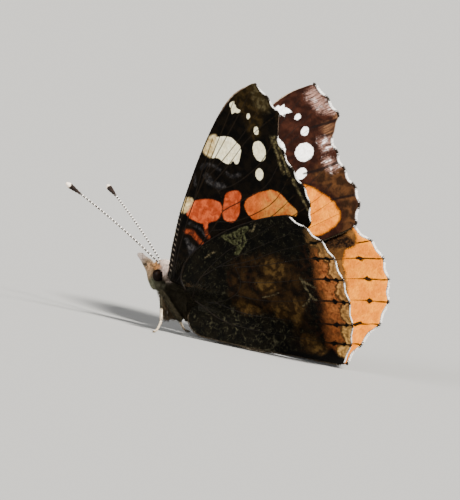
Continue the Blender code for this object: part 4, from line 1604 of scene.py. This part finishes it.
def body_parts():
    """Each part's stations and its place on the bake's map."""
    parts = {
        "thorax": (oval_line(THORAX, 5), (0.02, 0.02, 0.46, 0.58)),
        "abdomen": (oval_line(ABDOMEN, 9, ABDOMEN_RINGS), (0.5, 0.02, 0.98, 0.58)),
        "head": (oval_line(HEAD, 5), (0.02, 0.62, 0.3, 0.98)),
    }
    for side, word, column in ((1, "right", 0.34), (-1, "left", 0.67)):
        parts["palp_" + word] = (round_line(PALP, 5, side, 0.1), (column, 0.62, column + 0.28, 0.78))
        parts["foreleg_" + word] = (round_line(FORELEG, 5, side, 0.1), (column, 0.82, column + 0.28, 0.98))
    return parts


def nearest_part(places, parts):
    """For each place: its part's number, the share along it, the turn round it and the way ahead."""
    names = list(parts)
    best = np.full(len(places), np.inf)
    number = np.zeros(len(places), int)
    share = np.zeros(len(places))
    turn = np.zeros(len(places))
    ahead = np.zeros((len(places), 3))
    for i, name in enumerate(names):
        line = parts[name][0]
        gap, where = line_distance(places, line[:, :3])
        run = run_of(line[:, :3])
        radius = np.interp(where, run, line[:, 3:5].mean(axis=1))
        nearer = gap - radius < best
        best[nearer] = (gap - radius)[nearer]
        number[nearer] = i
        share[nearer] = (where / run[-1])[nearer]
        middle = np.column_stack([np.interp(where, run, line[:, j]) for j in range(3)])
        tangents = unit(np.gradient(line[:, :3], axis=0))
        tangent = np.column_stack([np.interp(where, run, tangents[:, j]) for j in range(3)])
        offset = places - middle
        sideways = unit(np.cross(tangent, (0, 0, 1)))
        over = np.cross(sideways, tangent)
        angle = np.arctan2(np.sum(offset * over, axis=1), np.sum(offset * sideways, axis=1))
        turn[nearer] = angle[nearer] / (2 * math.pi) + 0.5
        ahead[nearer] = tangent[nearer]
    return number, share, turn, unit(ahead)


def blob(places, centre, radii):
    """1 in the middle of an oval place on both sides of the body, and 0 outside it."""
    shifted = np.column_stack([
        (places[:, 0] - centre[0]) / radii[0],
        (np.abs(places[:, 1]) - centre[1]) / radii[1],
        (places[:, 2] - centre[2]) / radii[2],
    ])
    return eased((1.25 - np.linalg.norm(shifted, axis=1)) / 0.5)


OLIVE = np.array([0.018, 0.015, 0.008])
DARK = np.array([0.007, 0.005, 0.003])
BROWN = np.array([0.034, 0.019, 0.008])
BUFF = np.array([0.2, 0.14, 0.08])
WHITE = np.array([0.8, 0.65, 0.57])
TAN = np.array([0.7, 0.36, 0.14])
PINKISH = np.array([0.3, 0.21, 0.13])
GREENISH = np.array([0.14, 0.14, 0.092])


def body_paint(places, number, share, names):
    """The coat's colour by place on the body, used for the skin and for its hair."""
    paint = np.tile(OLIVE, (len(places), 1))
    name = np.array(names)[number]
    along, height = places[:, 0], places[:, 2]

    def lay(mask, tone):
        paint[:] = paint + (tone - paint) * mask[:, None]

    on_thorax = (name == "thorax").astype(float)
    on_abdomen = (name == "abdomen").astype(float)
    on_head = (name == "head").astype(float)
    on_palp = np.char.startswith(name, "palp").astype(float)
    on_foreleg = np.char.startswith(name, "foreleg").astype(float)
    lay(on_thorax * eased((height - 6.4) / 1.2), BROWN * 1.1)
    lay(on_thorax * eased((4.0 - height) / 1.5), BUFF * 0.35)
    lay(on_abdomen, DARK * 1.6)
    lay(on_abdomen * eased((3.4 - height) / 0.9), BUFF * 0.7)
    ring = (0.5 + 0.5 * np.cos(2 * math.pi * ABDOMEN_RINGS * share)) ** 2
    lay(on_abdomen * ring * 0.4, BUFF * 0.4)
    lay(on_head, BROWN * 1.5)
    lay(on_head * eased((height - 7.6) / 0.5), PINKISH * 1.3)
    lay(on_head * blob(places, (-4.0, 0.8, 7.9), (0.7, 0.75, 0.55)), TAN)
    lay(on_head * eased((6.6 - height) / 0.5), GREENISH)
    lay(blob(places, (-2.6, 0.9, 7.75), (0.95, 1.2, 1.35)) * (1 - on_palp), WHITE)
    lay(on_palp, PINKISH)
    lay(on_palp * blob(places, (-4.6, 0.7, 7.75), (0.75, 0.8, 0.6)) * 0.3, TAN)
    lay(on_palp * eased((0.34 - share) / 0.16), GREENISH)
    lay(on_palp * eased((share - 0.6) / 0.3), WHITE * 0.5)
    lay(on_palp * blob(places, (-5.75, 0.75, 7.95), (0.3, 0.5, 0.2)) * 0.8, DARK)
    lay(on_foreleg, BUFF * 0.35)
    lay(on_foreleg * eased((share - 0.6) / 0.3), BUFF * 0.6)
    return paint


def body_skin(parts):
    """One skin over head, palps, thorax, abdomen and the small forelegs, with no seam."""
    pieces = [drawn_ball(line, 36) for line, _ in parts.values()]
    piece = join(pieces)
    mesh = piece.data
    for attribute in [a.name for a in mesh.attributes if a.name == "station"]:
        mesh.attributes.remove(mesh.attributes[attribute])
    remesh = piece.modifiers.new("skin", "REMESH")
    remesh.mode = "VOXEL"
    remesh.voxel_size = SKIN_VOXEL
    remesh.adaptivity = 0.0
    apply_modifier(piece, remesh)
    smooth = piece.modifiers.new("smooth", "SMOOTH")
    smooth.iterations = 4
    smooth.factor = 0.5
    apply_modifier(piece, smooth)
    places = read_points(mesh)
    number, share, _, _ = nearest_part(places, parts)
    paint = body_paint(places, number, share, list(parts))
    write_values(mesh, "coat_colour", np.column_stack([paint, np.ones(len(paint))]))
    mesh.materials.append(LOOKS["skin"])
    return piece


def surface_roots(mesh, count, rng, weight):
    """Random places on a mesh with their normals, denser where weight is higher."""
    mesh.calc_loop_triangles()
    triangles = np.empty(len(mesh.loop_triangles) * 3, np.int32)
    mesh.loop_triangles.foreach_get("vertices", triangles)
    corners = read_points(mesh)[triangles.reshape(-1, 3)]
    cross = np.cross(corners[:, 1] - corners[:, 0], corners[:, 2] - corners[:, 0])
    area = np.linalg.norm(cross, axis=1) * 0.5
    chance = area * weight(corners.mean(axis=1))
    chosen = rng.choice(len(area), count, p=chance / chance.sum())
    u = rng.uniform(size=(count, 1))
    v = rng.uniform(size=(count, 1))
    over = (u + v) > 1
    u = np.where(over, 1 - u, u)
    v = np.where(over, 1 - v, v)
    picked = corners[chosen]
    places = picked[:, 0] * (1 - u - v) + picked[:, 1] * u + picked[:, 2] * v
    return places, unit(cross[chosen])


def near_eye(places):
    """How far outside the eyeballs each place is, as a share of their size."""
    offset = np.column_stack([
        (places[:, 0] - EYE_CENTRE[0]) / EYE_RADII[0],
        (np.abs(places[:, 1]) - EYE_CENTRE[1]) / EYE_RADII[1],
        (places[:, 2] - EYE_CENTRE[2]) / EYE_RADII[2],
    ])
    return np.linalg.norm(offset, axis=1)


def everywhere(places, turn):
    return np.ones(len(places))


def on_face(places, turn):
    return (places[:, 0] < -3.7) & (places[:, 2] > 7.0)


def on_crown(places, turn):
    return (places[:, 0] < -2.9) & (places[:, 2] > 7.75)


def on_ruff(places, turn):
    return (places[:, 0] > -3.4) & (places[:, 0] < -1.75) & (places[:, 2] > 6.4)


def on_brow(places, turn):
    gap = near_eye(places)
    return (gap > 1.1) & (gap < 1.65) & (places[:, 2] > 6.9) & (places[:, 0] > -4.0)


def on_nape(places, turn):
    return (places[:, 0] > -3.5) & (places[:, 0] < -2.3) & (places[:, 2] > 7.3)


def on_chest(places, turn):
    return (places[:, 0] < 1.2) & (places[:, 2] < 5.8)


def on_chin(places, turn):
    return (places[:, 0] > -4.1) & (places[:, 2] < 6.3)


def on_palp_top(places, turn):
    return np.abs(turn - 0.75) < 0.17


def along_it(roots, ahead):
    return ahead


def forward_and_up(roots, ahead):
    return np.tile((-0.82, 0.0, 0.55), (len(roots), 1))


def upward(roots, ahead):
    return np.tile((-0.1, 0.0, 1.0), (len(roots), 1))


def up_and_out(roots, ahead):
    return np.column_stack([np.full(len(roots), 0.05), 0.3 * np.sign(roots[:, 1]), np.ones(len(roots))])


def up_and_back(roots, ahead):
    return np.column_stack([np.full(len(roots), 0.35), 0.2 * np.sign(roots[:, 1]), np.ones(len(roots))])


def over_the_eye(roots, ahead):
    """From the brow towards the middle of the eye."""
    return np.array(EYE_CENTRE) * np.column_stack([
        np.ones(len(roots)), np.sign(roots[:, 1]), np.ones(len(roots)),
    ]) - roots


def down_and_back(roots, ahead):
    return np.column_stack([np.full(len(roots), 0.2), 0.15 * np.sign(roots[:, 1]), -np.ones(len(roots))])


# Name, part, number, shortest, longest, width, rise, droop, share of dark ones, where and which way.
COATS = (
    ("thorax_coat", "thorax", 13500, 0.4, 1.1, 0.04, 0.35, 0.25, 0.2, everywhere, along_it),
    ("chest_coat", "thorax", 6500, 0.6, 1.4, 0.04, 0.6, 0.1, 0.3, on_chest, down_and_back),
    ("abdomen_coat", "abdomen", 11000, 0.25, 0.55, 0.05, 0.18, 0.15, 0.1, everywhere, along_it),
    ("head_coat", "head", 7000, 0.18, 0.42, 0.034, 0.45, 0.12, 0.1, everywhere, along_it),
    ("face_tuft", "head", 4600, 0.6, 1.4, 0.036, 0.5, 0.05, 0.1, on_face, forward_and_up),
    ("crown_tuft", "head", 2000, 0.35, 0.8, 0.034, 0.6, 0.05, 0.15, on_crown, upward),
    ("chin_coat", "head", 3200, 0.6, 1.3, 0.04, 0.7, 0.05, 0.25, on_chin, down_and_back),
    ("brow_tuft", "head", 1800, 0.5, 0.85, 0.04, 1.5, 0.1, 0.1, on_brow, over_the_eye),
    ("nape_tuft", "head", 2600, 0.7, 1.25, 0.06, 0.8, 0.05, 0.08, on_nape, up_and_out),
    ("ruff", "", 10000, 0.7, 1.5, 0.052, 0.55, 0.1, 0.06, on_ruff, up_and_back),
    ("palp_coat", "palp", 9000, 0.15, 0.34, 0.044, 0.35, 0.1, 0.16, everywhere, along_it),
    ("palp_crest", "palp", 4000, 0.35, 0.85, 0.036, 0.95, 0.05, 0.16, on_palp_top, along_it),
    ("foreleg_coat", "foreleg", 6000, 0.3, 0.85, 0.036, 0.6, 0.15, 0.25, everywhere, along_it),
)


def body_coat(skin, parts, rng):
    """Hair over the skin, one coat after another, lying along the body."""
    names = list(parts)
    for label, part, count, short, long, width, rise, droop, dark, region, flow in COATS:
        count = int(count * FEW)

        def weight(centres):
            number, _, turn, _ = nearest_part(centres, parts)
            chosen = np.char.startswith(np.array(names)[number], part)
            return chosen * region(centres, turn) * (near_eye(centres) > 1.02)

        roots, normals = surface_roots(skin.data, count, rng, weight)
        number, share, turn, ahead = nearest_part(roots, parts)
        lie = flow(roots, ahead) + rng.normal(0, 0.16, (count, 3))
        lie = unit(lie - normals * np.sum(lie * normals, axis=1)[:, None])
        direction = unit(lie + normals * (rise * rng.uniform(0.6, 1.4, count))[:, None])
        length = rng.uniform(short, long, count)
        if part == "palp":
            length *= 1 - TIP_TRIM * eased((share - 0.6) / 0.3)
        paint = body_paint(roots, number, share, names)
        paint = np.where((rng.uniform(size=count) < dark)[:, None], DARK * 1.5, paint)
        paint = paint * rng.uniform(0.6, 1.4, count)[:, None]
        boxes = np.array([parts[n][1] for n in names])[number]
        spots = np.column_stack([
            boxes[:, 0] + (boxes[:, 2] - boxes[:, 0]) * share,
            boxes[:, 1] + (boxes[:, 3] - boxes[:, 1]) * turn,
        ])
        piece = tuft_mesh(
            label, roots - normals * 0.02, direction, normals, length,
            np.full(count, width) * rng.uniform(0.7, 1.3, count), paint, spots, np.full(count, droop),
        )
        settle(piece, label)


def make_body():
    parts = body_parts()
    rng = np.random.default_rng(SEED + 40)
    skin = body_skin(parts)
    body_coat(skin, parts, rng)
    nodes = ("thorax", "abdomen", "head", "palp_right", "palp_left", "foreleg_right", "foreleg_left")
    settle(skin, "body_skin", nodes)


def make_eyes():
    for side, word in ((1, "right"), (-1, "left")):
        select_nothing()
        bpy.ops.mesh.primitive_uv_sphere_add(segments=64, ring_count=40, radius=1.0)
        piece = bpy.context.object
        ball = read_points(piece.data)
        centre = np.array(EYE_CENTRE) * (1, side, 1)
        write_points(piece.data, centre + ball[:, [0, 2, 1]] * EYE_RADII * np.array([1, side, 1]))
        face_outward(piece)
        piece.data.materials.append(LOOKS["eye"])
        settle(piece, "eye_ball_" + word, ["eye_" + word])


def make_antennae():
    for side, word in ((1, "right"), (-1, "left")):
        base = np.array(ANTENNA_BASE)
        reach = np.array(ANTENNA_TIPS[side]) - base
        rings = []
        phases = []
        shares = []
        for segment in range(ANTENNA_SEGMENTS):
            for phase, swell in ((0.0, 0.72), (0.22, 0.98), (0.5, 1.1), (0.76, 0.98), (0.9, 0.72)):
                t = (segment + phase) / ANTENNA_SEGMENTS
                point = base + reach * t
                point[2] += ANTENNA_SAG * 4 * t * (1 - t)
                club = eased((t - (1 - CLUB_SHARE * 1.15)) / CLUB_SHARE)
                radius = ANTENNA_RADIUS + (CLUB_RADIUS - ANTENNA_RADIUS) * club
                radius *= 1 - 0.5 * eased((t - 0.965) / 0.035)
                radius *= 1 + (swell - 1) * (1 - 0.85 * club)
                rings.append((point[0], point[1] * side, point[2], radius, radius))
                phases.append(phase)
                shares.append(t)
        piece = drawn_ball(np.array(rings), 14)
        mesh = piece.data
        station = np.rint(read_values(mesh, "station") * (len(rings) - 1)).astype(int)
        write_values(mesh, "segment_phase", np.array(phases)[station])
        write_values(mesh, "antenna_share", np.array(shares)[station])
        mesh.materials.append(LOOKS["antenna"])
        settle(piece, "antenna_rings_" + word, ["antenna_" + word])


def leg_shape(path, side, knee, ankle):
    """A leg's tube with its joints drawn in, and how pale and how near a joint each ring is."""
    line = round_line(path, 10, side)
    share = np.linspace(0, len(path) - 1, len(line))
    pale = eased((share - knee - 0.95) / 0.5)
    joints = [knee - 0.5, ankle, *(ankle + np.arange(1, 5) * (len(path) - 1 - ankle) / 5)]
    near = np.zeros(len(line))
    for joint in joints:
        near = np.maximum(near, np.exp(-(((share - joint) / 0.12) ** 2)))
    line[:, 3:5] *= (1 - 0.28 * near)[:, None]
    piece = drawn_ball(line, 14)
    mesh = piece.data
    station = np.rint(read_values(mesh, "station") * (len(line) - 1)).astype(int)
    write_values(mesh, "leg_pale", pale[station])
    write_values(mesh, "leg_joint", near[station])
    mesh.materials.append(LOOKS["leg"])
    return piece, line, share, pale


def claw_pair(end, ahead, side):
    """Two hooked claws at the end of a foot, with their points on the floor."""
    made = []
    across = unit(np.cross(ahead, (0, 0, 1)))
    for sign in (-1, 1):
        start = end - ahead * 0.04 + across * sign * 0.05
        middle = end + ahead * 0.14 + across * sign * 0.12 + np.array([0, 0, 0.02])
        tip = end + ahead * 0.24 + across * sign * 0.13
        tip[2] = 0.015
        curve = curve_through([start, middle, tip], 5)
        radius = np.linspace(0.05, 0.012, len(curve))
        made.append(drawn_ball(np.column_stack([curve, radius, radius]), 8))
    return made


def spur(start, direction, length, radius):
    curve = start + direction * np.linspace(0, length, 5)[:, None]
    thick = np.linspace(radius, 0.012, 5)
    return drawn_ball(np.column_stack([curve, thick, thick]), 8)


def leg_coat(name, line, share, pale, knee, ankle, rng):
    """Shaggy dark hair on the thigh, close pale scales and dark spines below the knee."""
    count = int(3600 * FEW)
    where = rng.uniform(0.2, len(share) - 1.05, count)
    index = where.astype(int)
    part = share[index]
    turn = rng.uniform(0, 2 * math.pi, count)
    ahead = unit(np.gradient(line[:, :3], axis=0))[index]
    sideways = unit(np.cross(ahead, np.array([0.13, 0.2, 1.0])))
    over = np.cross(sideways, ahead)
    normals = sideways * np.cos(turn)[:, None] + over * np.sin(turn)[:, None]
    mix = (where - index)[:, None]
    middle = line[index, :3] * (1 - mix) + line[index + 1, :3] * mix
    roots = middle + normals * (line[index, 3] * 0.92)[:, None]
    thigh = part < knee - 0.3
    length = np.where(thigh, rng.uniform(0.35, 0.75, count), rng.uniform(0.1, 0.2, count))
    length = np.where(part > ankle, length * 0.75, length)
    rise = np.where(thigh, 0.35, 0.12)
    spines = (~thigh) & (rng.uniform(size=count) < 0.1)
    rise = np.where(spines, 0.9, rise)
    light = pale[index] > rng.uniform(0.3, 0.7, count)
    cream = np.array([0.62, 0.52, 0.39]) * rng.uniform(0.75, 1.05, count)[:, None]
    dark = OLIVE * rng.uniform(0.5, 1.5, count)[:, None]
    paint = np.where(light[:, None], cream, dark)
    paint = np.where(spines[:, None], DARK, paint)
    direction = unit(ahead + normals * rise[:, None] + rng.normal(0, 0.08, (count, 3)))
    low = (roots + direction * length[:, None])[:, 2] < 0.02
    direction[low, 2] = np.maximum(direction[low, 2], 0.0)
    roots[:, 2] = np.maximum(roots[:, 2], 0.02)
    spots = np.column_stack([0.02 + 0.96 * part / share[-1], 0.02 + 0.96 * turn / (2 * math.pi)])
    width = np.where(thigh, 0.045, 0.06) * rng.uniform(0.7, 1.2, count)
    width = np.where(spines, 0.035, width)
    return tuft_mesh(name, roots, unit(direction), normals, length, width, paint, spots, np.full(count, 0.1))


def make_legs():
    settings = (("midleg", MIDLEG, 4.0, 6.0), ("hindleg", HINDLEG, 3.0, 4.2))
    for label, path, knee, ankle in settings:
        for side, word in ((1, "right"), (-1, "left")):
            rng = np.random.default_rng(SEED + 60 + side)
            name = f"{label}_{word}"
            piece, line, share, pale = leg_shape(path, side, knee, ankle)
            ahead = unit(line[-1, :3] - line[-4, :3])
            claws = claw_pair(line[-1, :3], ahead, side)
            at = np.argmin(np.abs(share - ankle + 0.1))
            down = unit(line[at + 1, :3] - line[at, :3])
            for sign in (-1, 1):
                lean = unit(down + np.array([0.3, 0.1 * sign, 0.15]))
                claws.append(spur(line[at, :3] + np.array([0.02, 0.05 * sign, 0]), lean, 0.55, 0.05))
            claws = join(claws)
            claws.data.materials.append(LOOKS["claw"])
            coat = leg_coat(name + "_coat", line, share, pale, knee, ankle, rng)
            settle(piece, name + "_tube", [name])
            settle(claws, name + "_claws")
            settle(coat, name + "_coat")


# Floor, light and camera

def make_stage():
    select_nothing()
    bpy.ops.mesh.primitive_plane_add(size=14.0, location=(0, 0, 0))
    floor = bpy.context.object
    floor.name = "floor"
    floor.data.materials.append(floor_look())
    world = bpy.data.worlds.new("studio")
    bpy.context.scene.world = world
    world.use_nodes = True
    sky = world.node_tree.nodes["Background"]
    sky.inputs["Color"].default_value = colour(0.93, 0.96, 1.0)
    sky.inputs["Strength"].default_value = 0.4


def add_sun(name, direction, strength, spread, tint):
    lamp = bpy.data.lights.new(name, "SUN")
    lamp.energy = strength
    lamp.angle = math.radians(spread)
    lamp.color = tint
    holder = bpy.data.objects.new(name, lamp)
    holder.rotation_euler = Vector(direction).to_track_quat("Z", "Y").to_euler()
    bpy.context.scene.collection.objects.link(holder)


def make_lights():
    add_sun("key", (0.6, -0.35, 0.7), 14.0, 12.0, (1.0, 0.96, 0.9))
    add_sun("front", (-0.5, -0.8, 0.35), 3.8, 40.0, (1.0, 0.98, 0.95))


def make_camera():
    a, roll = VIEW_TURN, VIEW_ROLL
    right = Vector((math.cos(a) * math.cos(roll), math.sin(a), math.cos(a) * math.sin(roll)))
    up = Vector((-math.sin(roll), 0.0, math.cos(roll)))
    back = right.cross(up)
    hinge = Vector((-HINGE_X, 0.0, HINGE_Z))
    target = (hinge + right * TARGET_RIGHT + up * TARGET_UP) * MM
    data = bpy.data.cameras.new("camera")
    data.sensor_width = SENSOR
    data.lens = SENSOR * CAMERA_DISTANCE / (PHOTO_LONG_SIDE / PIXELS_PER_MM * MM)
    data.clip_start = 0.05
    data.clip_end = 30.0
    camera = bpy.data.objects.new("camera", data)
    turned = Matrix((right, up, back)).transposed().to_4x4()
    camera.matrix_world = Matrix.Translation(target + back * CAMERA_DISTANCE) @ turned
    bpy.context.scene.collection.objects.link(camera)
    bpy.context.scene.camera = camera


make_camera()
make_stage()
make_lights()
make_wings()
make_body()
make_eyes()
make_antennae()
make_legs()
